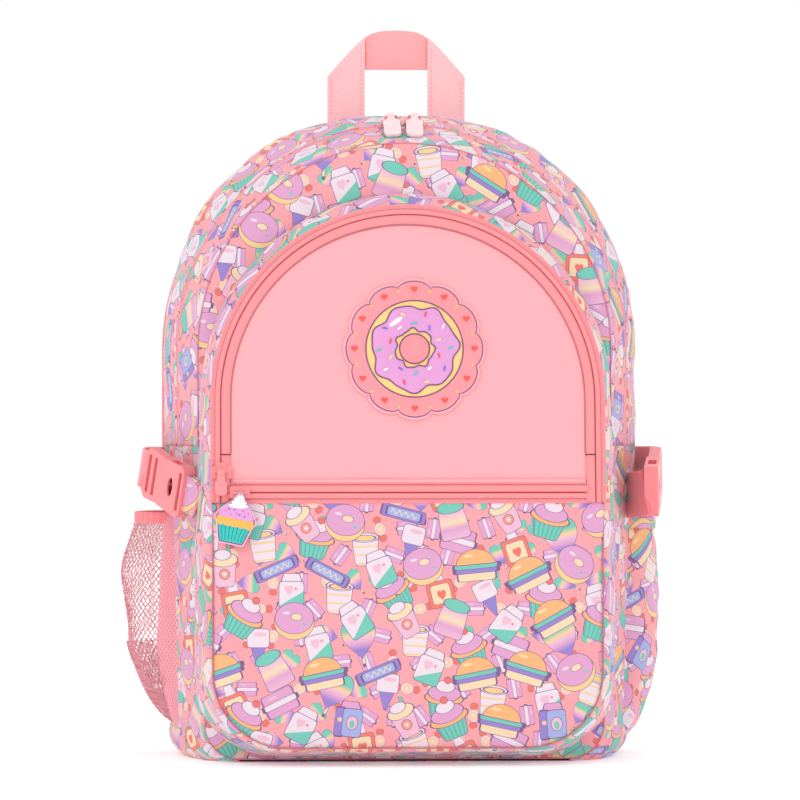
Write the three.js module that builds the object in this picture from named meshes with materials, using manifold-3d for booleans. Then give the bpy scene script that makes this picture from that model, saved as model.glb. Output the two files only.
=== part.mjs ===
// A child's school backpack, standing on its base.
// Millimetres, +Z up, -Y towards the front, origin at the centre of the flat base.
// Fabric panels are thin closed solids, so the main compartment and the pockets are truly hollow.
import * as THREE from "three";
import { mergeVertices } from "three/addons/utils/BufferGeometryUtils.js";
import Module from "manifold-3d";

const wasm = await Module();
wasm.setup();

// ---------------------------------------------------------------- driving dimensions
const ARCH_Z = 266; // height of the centre of the body's round top
const WIDEST_R = 155; // half-width of the body, and the radius of its round top
const FRONT_R = 134; // the same at the front seam
const REAR_R = 152; // the same at the rear seam
const FRONT_Y = -36; // front seam of the main compartment
const WIDEST_Y = 45; // depth at which the body is widest
const REAR_Y = 78; // rear seam
const WALL = 2.5; // fabric, foam interlining and lining together
const GAP = 0.3; // clearance between neighbouring pieces
const BASE_CORNER = 22; // radius where the side turns into the base
const BASE_TAPER = 5; // how much narrower the body is at the base than at the zip's ends
const ZIP_END_Z = 205; // where the main zip stops on each side

const MAIN_ZIP_Y = -5; // depth of the main zip's centre line
const SLIT = 0.8; // half the gap between the two rows of a zip, which a slider's post runs in
const COIL_W = 2.4; // width of one row of coil
const COIL_H = 1.8; // height of a row above its tape
const TAPE_T = 0.8; // tape thickness

const POCKET_Y = -84; // front face of the front pocket
const POCKET_HALF = 126; // half-width of the pocket's front outline
const POCKET_BASE_HALF = 132; // half-width where the pocket meets the main compartment
const POCKET_BOTTOM = 10; // lowest point of the pocket's front outline
const POCKET_CORNER = 50; // radius of the pocket's bottom corners
const FLAP_TILT = THREE.MathUtils.degToRad(7); // the upper part of the pocket leans back
const TILT_Z = 175; // height at which that lean starts
const POCKET_ARCH = 59; // centre of the pocket's arch, above TILT_Z along the leaning face
const ARCH_ZIP_R = 119.5; // radius of the arch zip's centre line
const FLAP_R = 110.5; // radius of the plain flap panel
const FLAP_HINGE = 22; // the flap's bend line, above TILT_Z along the leaning face
const LOWER_ZIP_Z = 174.5; // centre line of the straight zip

const WEBBING_W = 25; // width of every webbing
const WEBBING_T = 2; // thickness of every webbing

const COLOUR = {
  print: 0xf3b4bd,
  plain: 0xf9b5ba,
  tape: 0xf79a9f,
  webbing: 0xf9a6ab,
  plastic: 0xf98f94,
  rubber: 0xf7b1b8,
  mesh: 0xf2a0a8,
  lining: 0xf3c9d0,
  pad: 0xf08f9c,
  board: 0xd8d0cc,
  metal: 0xc9c9cf,
  teal: 0x26c6c4,
  icing: 0xe8a8dc,
};

const bag = new THREE.Group();

// ---------------------------------------------------------------- helpers
const lerp = THREE.MathUtils.lerp;
const v3 = (x, y, z) => new THREE.Vector3(x, y, z);

// A closed solid from points and triangles, turned so that its faces point out.
function solidFrom(points, triangles) {
  let volume = 0;
  const cross = new THREE.Vector3();
  for (const [a, b, c] of triangles) volume += points[a].dot(cross.crossVectors(points[b], points[c]));
  const index = triangles.flatMap(([a, b, c]) => (volume < 0 ? [a, c, b] : [a, b, c]));
  return new THREE.BufferGeometry().setFromPoints(points).setIndex(index);
}

// Sweeps a profile, a list of [a, b] pairs, through steps + 1 stations; place(u, a, b) puts a point.
function sweep(profile, steps, place, ring = false) {
  const stations = ring ? steps : steps + 1;
  const n = profile.length;
  const points = [];
  for (let i = 0; i < stations; i++) for (const [a, b] of profile) points.push(place(i / steps, a, b));
  const triangles = [];
  for (let i = 0; i < steps; i++) {
    const here = i * n;
    const next = ((i + 1) % stations) * n;
    for (let j = 0; j < n; j++) {
      const k = (j + 1) % n;
      triangles.push([here + j, next + j, next + k], [here + j, next + k, here + k]);
    }
  }
  if (!ring) {
    const flat = profile.map(([a, b]) => new THREE.Vector2(a, b));
    const last = steps * n;
    for (const [a, b, c] of THREE.ShapeUtils.triangulateShape(flat, [])) {
      const turned = THREE.ShapeUtils.isClockWise(flat);
      triangles.push(turned ? [a, b, c] : [a, c, b]);
      triangles.push(turned ? [last + a, last + c, last + b] : [last + a, last + b, last + c]);
    }
  }
  return solidFrom(points, orient(triangles));
}

// Turns neighbouring triangles the same way round, starting from the first.
function orient(triangles) {
  const edges = new Map();
  const key = (a, b) => Math.min(a, b) * 1e6 + Math.max(a, b);
  triangles.forEach((t, i) => {
    for (let j = 0; j < 3; j++) {
      const k = key(t[j], t[(j + 1) % 3]);
      if (!edges.has(k)) edges.set(k, []);
      edges.get(k).push(i);
    }
  });
  const done = new Set([0]);
  const todo = [0];
  while (todo.length) {
    const t = triangles[todo.pop()];
    for (let j = 0; j < 3; j++) {
      const [a, b] = [t[j], t[(j + 1) % 3]];
      for (const other of edges.get(key(a, b))) {
        if (done.has(other)) continue;
        const o = triangles[other];
        if (o.some((_, m) => o[m] === a && o[(m + 1) % 3] === b)) o.reverse();
        done.add(other);
        todo.push(other);
      }
    }
  }
  return triangles;
}

// A sheet with a thickness: at(u, v, w) runs along, across and through it, each from 0 to 1.
function slab(alongSteps, acrossSteps, at, ring = false) {
  const across = Array.from({ length: acrossSteps + 1 }, (_, i) => i / acrossSteps);
  const profile = [...across.map((v) => [v, 0]), ...across.reverse().map((v) => [v, 1])];
  return sweep(profile, alongSteps, at, ring);
}

// Webbing along a smooth line through the points given, its width along an axis.
function ribbon(points, wide, steps, width = WEBBING_W) {
  const line = new THREE.CatmullRomCurve3(points, false, "centripetal");
  return slab(steps, 1, (u, v, w) => {
    const tangent = line.getTangent(u);
    const across = wide.clone().addScaledVector(tangent, -wide.dot(tangent)).normalize();
    const through = v3(0, 0, 0).crossVectors(tangent, across).normalize();
    const p = line.getPoint(u);
    return p.addScaledVector(across, (v - 0.5) * width).addScaledVector(through, (w - 0.5) * WEBBING_T);
  });
}

function box(x0, x1, y0, y1, z0, z1) {
  const g = new THREE.BoxGeometry(x1 - x0, y1 - y0, z1 - z0);
  return g.translate((x0 + x1) / 2, (y0 + y1) / 2, (z0 + z1) / 2);
}

// A flat shape drawn in X and Z, made solid from depth y0 to y1.
function plate(shape, y0, y1, curveSegments = 6) {
  const g = new THREE.ExtrudeGeometry(shape, { depth: y1 - y0, bevelEnabled: false, curveSegments });
  return g.rotateX(Math.PI / 2).translate(0, y1, 0);
}

function toSolid(geometry) {
  const bare = geometry.clone();
  bare.deleteAttribute("normal");
  bare.deleteAttribute("uv");
  const merged = mergeVertices(bare, 1e-4);
  const vertProperties = new Float32Array(merged.attributes.position.array);
  return new wasm.Manifold(
    new wasm.Mesh({ numProp: 3, vertProperties, triVerts: new Uint32Array(merged.index.array) }),
  );
}

function fromSolid(solid) {
  const m = solid.getMesh();
  const positions = new Float32Array(m.numVert * 3);
  for (let i = 0; i < m.numVert; i++) {
    positions.set(m.vertProperties.subarray(i * m.numProp, i * m.numProp + 3), i * 3);
  }
  const g = new THREE.BufferGeometry();
  g.setAttribute("position", new THREE.BufferAttribute(positions, 3));
  return g.setIndex(new THREE.BufferAttribute(new Uint32Array(m.triVerts), 1));
}

const join = (...parts) => fromSolid(parts.map(toSolid).reduce((a, b) => a.add(b)));
const cut = (body, ...tools) => fromSolid(tools.map(toSolid).reduce((a, b) => a.subtract(b), toSolid(body)));

function add(name, geometry, colour, parent = bag, roughness = 0.8) {
  const material = new THREE.MeshStandardMaterial({ color: colour, roughness, metalness: 0 });
  const mesh = new THREE.Mesh(geometry, material);
  mesh.name = name;
  parent.add(mesh);
  return mesh;
}

const bothSides = (make) => {
  make("left", -1);
  make("right", 1);
};

// ---------------------------------------------------------------- the body's shape
// Half-width of the body, and the radius of its round top, at depth y.
function bodyRadius(y) {
  if (y > WIDEST_Y) return WIDEST_R - (WIDEST_R - REAR_R) * ((y - WIDEST_Y) / (REAR_Y - WIDEST_Y)) ** 2;
  const quarter = (Math.PI / 2) * ((y - FRONT_Y) / (WIDEST_Y - FRONT_Y));
  return FRONT_R + (WIDEST_R - FRONT_R) * Math.sin(quarter);
}

const taper = (z) => BASE_TAPER * Math.max(0, 1 - z / ZIP_END_Z);

// Stations over the round top, from one zip end over to the other: share 0 to 1.
const ARCH_STEPS = 22;
const DEPTH_STEPS = 5; // stations across the side gussets and the base, which meet
function overArch(share, y, r) {
  const step = share * ARCH_STEPS;
  if (step < 1) return v3(-r, y, lerp(ZIP_END_Z, ARCH_Z, step));
  if (step > ARCH_STEPS - 1) return v3(r, y, lerp(ARCH_Z, ZIP_END_Z, step - ARCH_STEPS + 1));
  const angle = Math.PI * ((step - 1) / (ARCH_STEPS - 2) - 0.5);
  return v3(r * Math.sin(angle), y, ARCH_Z + r * Math.cos(angle));
}

// An upright outline with a round top and two rounded bottom corners.
function outline(half, bottom, corner, topZ, topR = half) {
  const s = new THREE.Shape();
  s.moveTo(-half + corner, bottom);
  s.lineTo(half - corner, bottom);
  s.absarc(half - corner, bottom + corner, corner, -Math.PI / 2, 0, false);
  s.lineTo(topR, topZ);
  s.absarc(0, topZ, topR, 0, Math.PI, false);
  s.lineTo(-half, bottom + corner);
  s.absarc(-half + corner, bottom + corner, corner, Math.PI, Math.PI * 1.5, false);
  return s;
}

// ---------------------------------------------------------------- main compartment
function mainCompartment() {
  const strip = (y0, y1) => (u, v, w) => {
    const y = lerp(y0, y1, v);
    return overArch(u, y, bodyRadius(y) - WALL * w);
  };
  const tapeEdge = 8;
  const frontEdge = MAIN_ZIP_Y - tapeEdge * Math.cos(zipSlope) - GAP;
  const rearEdge = MAIN_ZIP_Y + tapeEdge * Math.cos(zipSlope) + GAP;
  add("top_gusset_front", slab(ARCH_STEPS, 2, strip(FRONT_Y, frontEdge)), COLOUR.print);
  add("top_gusset_rear", slab(ARCH_STEPS, 4, strip(rearEdge, REAR_Y)), COLOUR.print);

  const downSteps = 7;
  const straight = 3;
  const sideWall = (side) => (u, v, w) => {
    const y = lerp(FRONT_Y, REAR_Y, v);
    const r = bodyRadius(y);
    const step = u * downSteps;
    if (step <= straight) {
      const z = lerp(ZIP_END_Z - GAP, BASE_CORNER, step / straight);
      return v3(side * (r - taper(z) - WALL * w), y, z);
    }
    const angle = ((step - straight) / (downSteps - straight)) * (Math.PI / 2);
    const corner = BASE_CORNER - WALL * w;
    const centre = r - taper(BASE_CORNER) - BASE_CORNER;
    return v3(side * (centre + corner * Math.cos(angle)), y, BASE_CORNER - corner * Math.sin(angle));
  };
  bothSides((name, side) => {
    add(`side_gusset_${name}`, slab(downSteps, DEPTH_STEPS, sideWall(side)), COLOUR.print);
  });

  const baseHalf = (y) => bodyRadius(y) - taper(BASE_CORNER) - BASE_CORNER - GAP;
  const base = (u, v, w) => {
    const y = lerp(FRONT_Y, REAR_Y, v);
    return v3(lerp(-baseHalf(y), baseHalf(y), u), y, WALL * w);
  };
  add("base_panel", slab(1, DEPTH_STEPS, base), COLOUR.print);
  const boardInset = 6;
  const boardHalf = baseHalf(FRONT_Y) - boardInset;
  const boardZ = WALL + GAP;
  const board = box(-boardHalf, boardHalf, FRONT_Y + boardInset, REAR_Y - boardInset, boardZ, boardZ + WALL);
  add("base_board", board, COLOUR.board);

  const frontBottom = 3;
  const front = outline(FRONT_R - GAP, frontBottom, BASE_CORNER, ARCH_Z);
  add("front_panel", plate(front, FRONT_Y - GAP - WALL, FRONT_Y - GAP), COLOUR.print);
}

// ---------------------------------------------------------------- main zip
// The tape follows the slope of the body at the zip.
const zipSlope = Math.atan(
  (bodyRadius(MAIN_ZIP_Y + 1) - bodyRadius(MAIN_ZIP_Y - 1)) / 2,
);
const mainZipR = bodyRadius(MAIN_ZIP_Y);

// Half of a zip in section: across runs from the slit outwards, up away from the tape.
function stringerProfile(tapeWidth, side) {
  const profile = [
    [SLIT, -TAPE_T / 2],
    [tapeWidth, -TAPE_T / 2],
    [tapeWidth, TAPE_T / 2],
    [SLIT + COIL_W, TAPE_T / 2],
    [SLIT + COIL_W, TAPE_T / 2 + COIL_H],
    [SLIT, TAPE_T / 2 + COIL_H],
  ];
  return profile.map(([across, up]) => [side * across, up]);
}

function mainZip() {
  const tapeWidth = 8;
  for (const [name, side] of [["front", -1], ["rear", 1]]) {
    const profile = stringerProfile(tapeWidth, side);
    const place = (u, across, up) => {
      const y = MAIN_ZIP_Y + across * Math.cos(zipSlope) - up * Math.sin(zipSlope);
      const r = mainZipR + across * Math.sin(zipSlope) + up * Math.cos(zipSlope);
      return overArch(u, y, r);
    };
    add(`main_zip_stringer_${name}`, sweep(profile, ARCH_STEPS, place), COLOUR.tape);
  }
}

// ---------------------------------------------------------------- sliders and pulls
const SLIDER_L = 13; // along the zip
const SLIDER_W = 7.4; // across it
const SLIDER_TOP = 4; // top of its upper plate above the tape
const BAR_UP = 7.1; // centre of the bar that the pull hangs on
const BAR_HALF = 0.6; // half the thickness of that bar
const EYE_R = 2.3; // outside of a pull's eye
const EYE_HOLE = 1.3; // inside of it

// Travel along X, across along Y, outwards +Z.
function sliderGeometry() {
  const [l, w] = [SLIDER_L / 2, SLIDER_W / 2];
  const lowest = -3;
  const upper = box(-l, l, -w, w, 2.5, SLIDER_TOP);
  const lower = box(-l, l, -w, w, lowest, lowest + 1.5);
  const post = box(-l + 1, l - 4, -0.5, 0.5, lowest + 0.5, 3);
  const legOut = 4.2;
  const legIn = 2.9;
  const bridge = box(-legOut, legOut, -BAR_HALF, BAR_HALF, SLIDER_TOP - 0.5, BAR_UP + BAR_HALF);
  const under = box(-legIn, legIn, -w, w, SLIDER_TOP, BAR_UP - BAR_HALF);
  return cut(join(upper, lower, post, bridge), under);
}

// A flat tab that hangs on the bar along X and runs to -Y, drooping by an angle.
function pullGeometry(width, length, thick, droop) {
  const eye = new THREE.Shape().absarc(0, 0, EYE_R, 0, Math.PI * 2);
  eye.holes.push(new THREE.Path().absarc(0, 0, EYE_HOLE, 0, Math.PI * 2));
  const eyeHalf = 2.4;
  const settings = { depth: eyeHalf * 2, bevelEnabled: false, curveSegments: 6 };
  const ring = new THREE.ExtrudeGeometry(eye, settings).translate(0, 0, -eyeHalf).rotateY(Math.PI / 2);
  const neck = box(-eyeHalf, eyeHalf, -EYE_R - 3.5, -EYE_HOLE - 0.4, -thick / 2, thick / 2);
  const half = width / 2;
  const tab = new THREE.Shape();
  const start = EYE_R + 2.5;
  const round = 3;
  tab.moveTo(-half + 2, -start);
  tab.lineTo(-half, -start - 2);
  tab.lineTo(-half, -length + round);
  tab.absarc(-half + round, -length + round, round, Math.PI, Math.PI * 1.5, false);
  tab.absarc(half - round, -length + round, round, Math.PI * 1.5, Math.PI * 2, false);
  tab.lineTo(half, -start - 2);
  tab.lineTo(half - 2, -start);
  const body = new THREE.ExtrudeGeometry(tab, { depth: thick, bevelEnabled: false, curveSegments: 3 });
  return join(ring, neck, body.translate(0, 0, -thick / 2)).rotateX(droop);
}

const MAIN_SLIDER_ANGLE = 2.9; // degrees from the top at which each main slider is parked
const MAIN_DROOP = THREE.MathUtils.degToRad(16);

function mainSliders() {
  bothSides((name, side) => {
    const swing = new THREE.Group();
    swing.position.set(0, 0, ARCH_Z);
    swing.rotation.y = THREE.MathUtils.degToRad(side * MAIN_SLIDER_ANGLE);
    bag.add(swing);
    const seat = new THREE.Group();
    seat.position.set(0, MAIN_ZIP_Y, mainZipR);
    seat.rotation.x = zipSlope;
    swing.add(seat);
    const slider = add(`main_slider_${name}`, sliderGeometry(), COLOUR.plastic, seat, 0.4);
    if (side > 0) slider.rotation.z = Math.PI;
    const pull = add(`main_pull_${name}`, pullGeometry(11, 24, 2, MAIN_DROOP), COLOUR.plastic, seat, 0.35);
    pull.position.z = BAR_UP;
  });
}

// ---------------------------------------------------------------- front pocket
// The leaning face of the pocket: X across, Z up along the face, -Y outwards, Z = 0 at TILT_Z.
const face = new THREE.Group();
face.position.set(0, POCKET_Y, TILT_Z);
face.rotation.x = -FLAP_TILT;
bag.add(face);

// A loop of shares 0 to 1 round an outline with a round top: returns [x, z].
const LOOP = { bottom: 2, corner: 4, leg: 2, arch: 16 };
const LOOP_STEPS = LOOP.bottom + 2 * LOOP.corner + 2 * LOOP.leg + LOOP.arch;
function aroundPocket(share, half, bottom, corner, archZ) {
  let step = Math.round(share * LOOP_STEPS) % LOOP_STEPS;
  const flat = half - corner;
  if (step < LOOP.bottom) return [lerp(-flat, flat, step / LOOP.bottom), bottom];
  step -= LOOP.bottom;
  if (step < LOOP.corner) {
    const a = -Math.PI / 2 + (Math.PI / 2) * (step / LOOP.corner);
    return [flat + corner * Math.cos(a), bottom + corner + corner * Math.sin(a)];
  }
  step -= LOOP.corner;
  if (step < LOOP.leg) return [half, lerp(bottom + corner, archZ, step / LOOP.leg)];
  step -= LOOP.leg;
  if (step < LOOP.arch) {
    const a = Math.PI * (step / LOOP.arch);
    return [half * Math.cos(a), archZ + half * Math.sin(a)];
  }
  step -= LOOP.arch;
  if (step < LOOP.leg) return [-half, lerp(archZ, bottom + corner, step / LOOP.leg)];
  step -= LOOP.leg;
  const a = Math.PI + (Math.PI / 2) * (step / LOOP.corner);
  return [-flat + corner * Math.cos(a), bottom + corner + corner * Math.sin(a)];
}

// A point of the pocket's front outline, leaning back above TILT_Z.
function onPocketFace(x, z) {
  if (z < TILT_Z) return v3(x, POCKET_Y, z);
  const up = z - TILT_Z;
  return v3(x, POCKET_Y + up * Math.sin(FLAP_TILT), TILT_Z + up * Math.cos(FLAP_TILT));
}

const PANEL_INSET = WALL + GAP; // the face's panels lie inside the pocket's side wall

// Half a zip laid on the leaning face, from height z0 up the legs and over the arch.
function archStringer(z0, tapeWidth, side) {
  const legs = 1;
  const steps = LOOP.arch + 2 * legs;
  return sweep(stringerProfile(tapeWidth, side), steps, (u, across, up) => {
    const r = ARCH_ZIP_R + across;
    const step = u * steps;
    if (step < legs) return v3(-r, -up, lerp(z0, POCKET_ARCH, step / legs));
    if (step > steps - legs) return v3(r, -up, lerp(POCKET_ARCH, z0, (step - steps + legs) / legs));
    const angle = Math.PI * ((step - legs) / (steps - 2 * legs) - 0.5);
    return v3(r * Math.sin(angle), -up, POCKET_ARCH + r * Math.cos(angle));
  });
}

function frontPocket() {
  const archZ = TILT_Z + POCKET_ARCH;
  const baseY = FRONT_Y - GAP - WALL - GAP;
  const wall = (u, v, w) => {
    const inset = WALL * w;
    const corner = POCKET_CORNER - inset;
    const [fx, fz] = aroundPocket(u, POCKET_HALF - inset, POCKET_BOTTOM + inset, corner, archZ);
    const half = POCKET_BASE_HALF - inset;
    const [bx, bz] = aroundPocket(u, half, WALL + inset, corner, archZ);
    const front = onPocketFace(fx, fz);
    const mid = v * v * 0.5 + v * 0.5;
    return v3(lerp(fx, bx, mid), lerp(front.y, baseY, v), lerp(front.z, bz, mid));
  };
  add("pocket_gusset", slab(LOOP_STEPS, 3, wall, true), COLOUR.print);

  const half = POCKET_HALF - PANEL_INSET;
  const bottom = POCKET_BOTTOM + PANEL_INSET;
  const top = 167.7;
  const corner = POCKET_CORNER - PANEL_INSET;
  const panel = new THREE.Shape();
  panel.moveTo(-half, top);
  panel.lineTo(-half, bottom + corner);
  panel.absarc(-half + corner, bottom + corner, corner, Math.PI, Math.PI * 1.5, false);
  panel.absarc(half - corner, bottom + corner, corner, Math.PI * 1.5, Math.PI * 2, false);
  panel.lineTo(half, top);
  add("pocket_lower_panel", plate(panel, POCKET_Y, POCKET_Y + WALL, LOOP.corner / 2), COLOUR.print);

  const dividerY = POCKET_Y + 14;
  const divider = new THREE.Shape();
  const [inner, inset] = [POCKET_HALF - PANEL_INSET - 2, 22];
  divider.moveTo(-inner, LOWER_ZIP_Z - 8);
  divider.lineTo(-inner, bottom + inset + corner);
  divider.absarc(-inner + corner, bottom + inset + corner, corner, Math.PI, Math.PI * 1.5, false);
  divider.absarc(inner - corner, bottom + inset + corner, corner, Math.PI * 1.5, Math.PI * 2, false);
  divider.lineTo(inner, LOWER_ZIP_Z - 8);
  add("pocket_divider", plate(divider, dividerY, dividerY + 1, LOOP.corner / 2), COLOUR.lining);
}

function pocketZips() {
  const tapeHalf = 112;
  const tapeWidth = 6.5;
  for (const [name, side] of [["upper", 1], ["lower", -1]]) {
    const place = (u, across, up) => v3(lerp(-tapeHalf, tapeHalf, u), POCKET_Y - up, LOWER_ZIP_Z + across);
    const stringer = sweep(stringerProfile(tapeWidth, side), 1, place);
    add(`lower_zip_stringer_${name}`, stringer, COLOUR.tape);
  }
  const outer = POCKET_HALF - PANEL_INSET - ARCH_ZIP_R;
  add("arch_zip_stringer_outer", archStringer(1, outer, 1), COLOUR.tape, face);

  const hemHalf = ARCH_ZIP_R - SLIT;
  const hemBottom = LOWER_ZIP_Z + tapeWidth + GAP - TILT_Z;
  const hem = box(-hemHalf, hemHalf, -0.6, 0.6, hemBottom, FLAP_HINGE - GAP);
  add("flap_hem", hem, COLOUR.plain, face);
}

// ---------------------------------------------------------------- plain flap with its badge
function flap() {
  const bottom = FLAP_HINGE;
  const panel = new THREE.Shape();
  panel.moveTo(-FLAP_R, bottom);
  panel.lineTo(FLAP_R, bottom);
  panel.lineTo(FLAP_R, POCKET_ARCH);
  panel.absarc(0, POCKET_ARCH, FLAP_R, 0, Math.PI, false);
  add("flap_panel", plate(panel, -0.6, 1.8, LOOP.arch / 2), COLOUR.plain, face);
  const inner = ARCH_ZIP_R - FLAP_R - GAP;
  add("arch_zip_stringer_inner", archStringer(bottom, inner, -1), COLOUR.tape, face);

  const badgeR = 45;
  const lobes = 12;
  const edge = new THREE.Shape();
  const points = lobes * 4;
  for (let i = 0; i < points; i++) {
    const a = (i / points) * Math.PI * 2;
    const r = badgeR + 1.6 * Math.cos(lobes * a);
    edge[i ? "lineTo" : "moveTo"](4 + r * Math.cos(a), BADGE_UP + r * Math.sin(a));
  }
  add("badge_base", plate(edge, -2.8, -0.9), COLOUR.rubber, face, 0.5);
  const ring = new THREE.Shape().absarc(4, BADGE_UP, 31, 0, Math.PI * 2, false);
  ring.holes.push(new THREE.Path().absarc(4, BADGE_UP, 11, 0, Math.PI * 2, true));
  add("badge_art", plate(ring, -4.8, -3.1), COLOUR.icing, face, 0.4);
}
const BADGE_UP = 91; // centre of the badge above TILT_Z along the leaning face

// ---------------------------------------------------------------- sliders of the front pocket
const ARCH_SLIDER_UP = 12; // centre of the parked arch slider above TILT_Z
const LOWER_SLIDER_X = -107.5; // centre of the parked lower slider
const RING_R = 2.2; // centre line of the charm's ring
const RING_WIRE = 0.5; // radius of its wire
const CHARM_T = 2;
const CHARM_HOLE = 1.3; // radius of the hole that the ring passes through

function pocketSliders() {
  const seat = new THREE.Group();
  seat.position.set(-ARCH_ZIP_R, 0, ARCH_SLIDER_UP);
  face.add(seat);
  const slider = sliderGeometry();
  const acrossBar = slider.clone();
  // Travel along the face's Z, outwards -Y, with the bar turned across the travel.
  const plates = cut(slider, box(-20, 20, -20, 20, SLIDER_TOP, 20)).rotateZ(Math.PI / 2);
  const bridge = cut(acrossBar, box(-20, 20, -20, 20, -20, SLIDER_TOP - 0.5));
  add("arch_slider", join(plates, bridge).rotateX(Math.PI / 2), COLOUR.plastic, seat, 0.4);
  const droop = THREE.MathUtils.degToRad(8);
  const tab = pullGeometry(7.6, 15, 2, droop).rotateX(Math.PI / 2);
  add("arch_pull", tab, COLOUR.plastic, seat, 0.35).position.y = -BAR_UP;

  const lower = new THREE.Group();
  lower.position.set(LOWER_SLIDER_X, POCKET_Y, LOWER_ZIP_Z);
  bag.add(lower);
  add("lower_slider", sliderGeometry().rotateX(Math.PI / 2), COLOUR.plastic, lower, 0.4);
  const ring = new THREE.TorusGeometry(RING_R, RING_WIRE, 6, 14).rotateY(Math.PI / 2);
  const hang = BAR_HALF + RING_WIRE + GAP;
  const ringMesh = add("charm_ring", ring, COLOUR.metal, lower, 0.25);
  ringMesh.position.set(0, -BAR_UP, -RING_R + hang);
  const holeZ = hang - 2 * RING_R - 0.2;
  const charm = add("charm", charmGeometry(), COLOUR.teal, lower, 0.35);
  charm.position.set(0, -BAR_UP, holeZ);
}

// A cupcake outline, hung by a hole at its own origin.
function charmGeometry() {
  const s = new THREE.Shape();
  s.moveTo(-7.5, -30);
  s.lineTo(7.5, -30);
  s.lineTo(11, -17.5);
  s.absarc(9.5, -13.5, 4, -Math.PI / 3, Math.PI / 3, false);
  s.absarc(4.5, -7, 5, -Math.PI / 6, Math.PI / 2.2, false);
  s.absarc(0, 0, CHARM_HOLE + 0.9, 0, Math.PI, false);
  s.absarc(-4.5, -7, 5, Math.PI - Math.PI / 2.2, Math.PI + Math.PI / 6, false);
  s.absarc(-9.5, -13.5, 4, Math.PI - Math.PI / 3, Math.PI + Math.PI / 3, false);
  s.lineTo(-11, -17.5);
  s.holes.push(new THREE.Path().absarc(0, 0, CHARM_HOLE, 0, Math.PI * 2, true));
  return plate(s, -CHARM_T / 2, CHARM_T / 2, 5);
}

// ---------------------------------------------------------------- back of the bag
const BACK_Y = REAR_Y + GAP; // inner side of the back panel
const BACK_OUT = BACK_Y + WALL; // its outer side
const PIPING_R = 2;

function back() {
  const bottom = 4.6;
  const half = REAR_R - GAP;
  const shape = outline(half, bottom, BASE_CORNER, ARCH_Z);
  add("back_panel", plate(shape, BACK_Y, BACK_OUT, LOOP.arch / 2), COLOUR.pad);

  const pad = (x0, x1, z0, z1, r) => {
    const s = new THREE.Shape();
    s.moveTo(x0 + r, z0);
    s.absarc(x1 - r, z0 + r, r, -Math.PI / 2, 0, false);
    s.absarc(x1 - r, z1 - r, r, 0, Math.PI / 2, false);
    s.absarc(x0 + r, z1 - r, r, Math.PI / 2, Math.PI, false);
    s.absarc(x0 + r, z0 + r, r, Math.PI, Math.PI * 1.5, false);
    return plate(s, BACK_OUT + GAP, BACK_OUT + GAP + 8, 5);
  };
  bothSides((name, side) => {
    const [a, b] = [side * 10, side * 112];
    add(`back_pad_${name}`, pad(Math.min(a, b), Math.max(a, b), 108, 350, 24), COLOUR.pad);
  });
  add("back_pad_lumbar", pad(-95, 95, 34, 98, 24), COLOUR.pad);

  const ring = [];
  const sides = 8;
  for (let i = 0; i < sides; i++) {
    const a = (i / sides) * Math.PI * 2;
    ring.push([PIPING_R * Math.cos(a), PIPING_R * Math.sin(a)]);
  }
  const pipeHalf = REAR_R + PIPING_R + 2 * GAP;
  const pipeBottom = bottom - PIPING_R - 2 * GAP;
  const pipe = (u, a, b) => {
    const corner = BASE_CORNER + PIPING_R + 2 * GAP + a;
    const [x, z] = aroundPocket(u, pipeHalf + a, pipeBottom - a, corner, ARCH_Z);
    return v3(x, BACK_OUT - 0.4 + b, z);
  };
  add("rear_piping", sweep(ring, LOOP_STEPS, pipe, true), COLOUR.webbing);

  const yoke = new THREE.Shape();
  yoke.moveTo(-74, 358);
  yoke.lineTo(74, 358);
  yoke.lineTo(58, 404);
  yoke.lineTo(-58, 404);
  add("shoulder_yoke", plate(yoke, BACK_OUT + GAP, BACK_OUT + GAP + 2.2), COLOUR.print);
}

// ---------------------------------------------------------------- carry handle
const HANDLE_FOOT = 423.6; // where the handle leaves the rear seam
function carryHandle() {
  const [outer, inner, top, fold] = [46, 46 - WEBBING_W, 476, 446];
  const [under, crown] = [top - WEBBING_W + 1, 20];
  const s = new THREE.Shape();
  s.moveTo(-outer, HANDLE_FOOT);
  s.lineTo(-inner, HANDLE_FOOT);
  s.lineTo(-inner, under);
  s.lineTo(inner, under);
  s.lineTo(inner, HANDLE_FOOT);
  s.lineTo(outer, HANDLE_FOOT);
  s.lineTo(outer, fold);
  s.lineTo(crown + 4, top - 5);
  s.lineTo(crown - 4, top);
  s.lineTo(-crown + 4, top);
  s.lineTo(-crown - 4, top - 5);
  s.lineTo(-outer, fold);
  add("carry_handle", plate(s, BACK_OUT - 2.6, BACK_OUT + 0.4), COLOUR.webbing);
}

// ---------------------------------------------------------------- shoulder straps
const STRAP_T = 11;
const STRAP_TOP_Z = 392;
const STRAP_END_Z = 138;
const LOCK_L = 26; // ladder lock, along the webbing
const LOCK_W = 33; // and across it

// Centre line of a strap: share 0 at the yoke, 1 at its lower end.
function strapCentre(share) {
  const z = lerp(STRAP_TOP_Z, STRAP_END_Z, share);
  const x = 44 + 58 * (3 * share ** 2 - 2 * share ** 3) + 4 * share;
  const y = 91 + 13 * Math.sin(Math.PI * Math.min(1, share * 1.15) ** 0.6) + 8 * share;
  return v3(x, y, z);
}
const strapHalf = (share) => lerp(30, 23, share);

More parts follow.
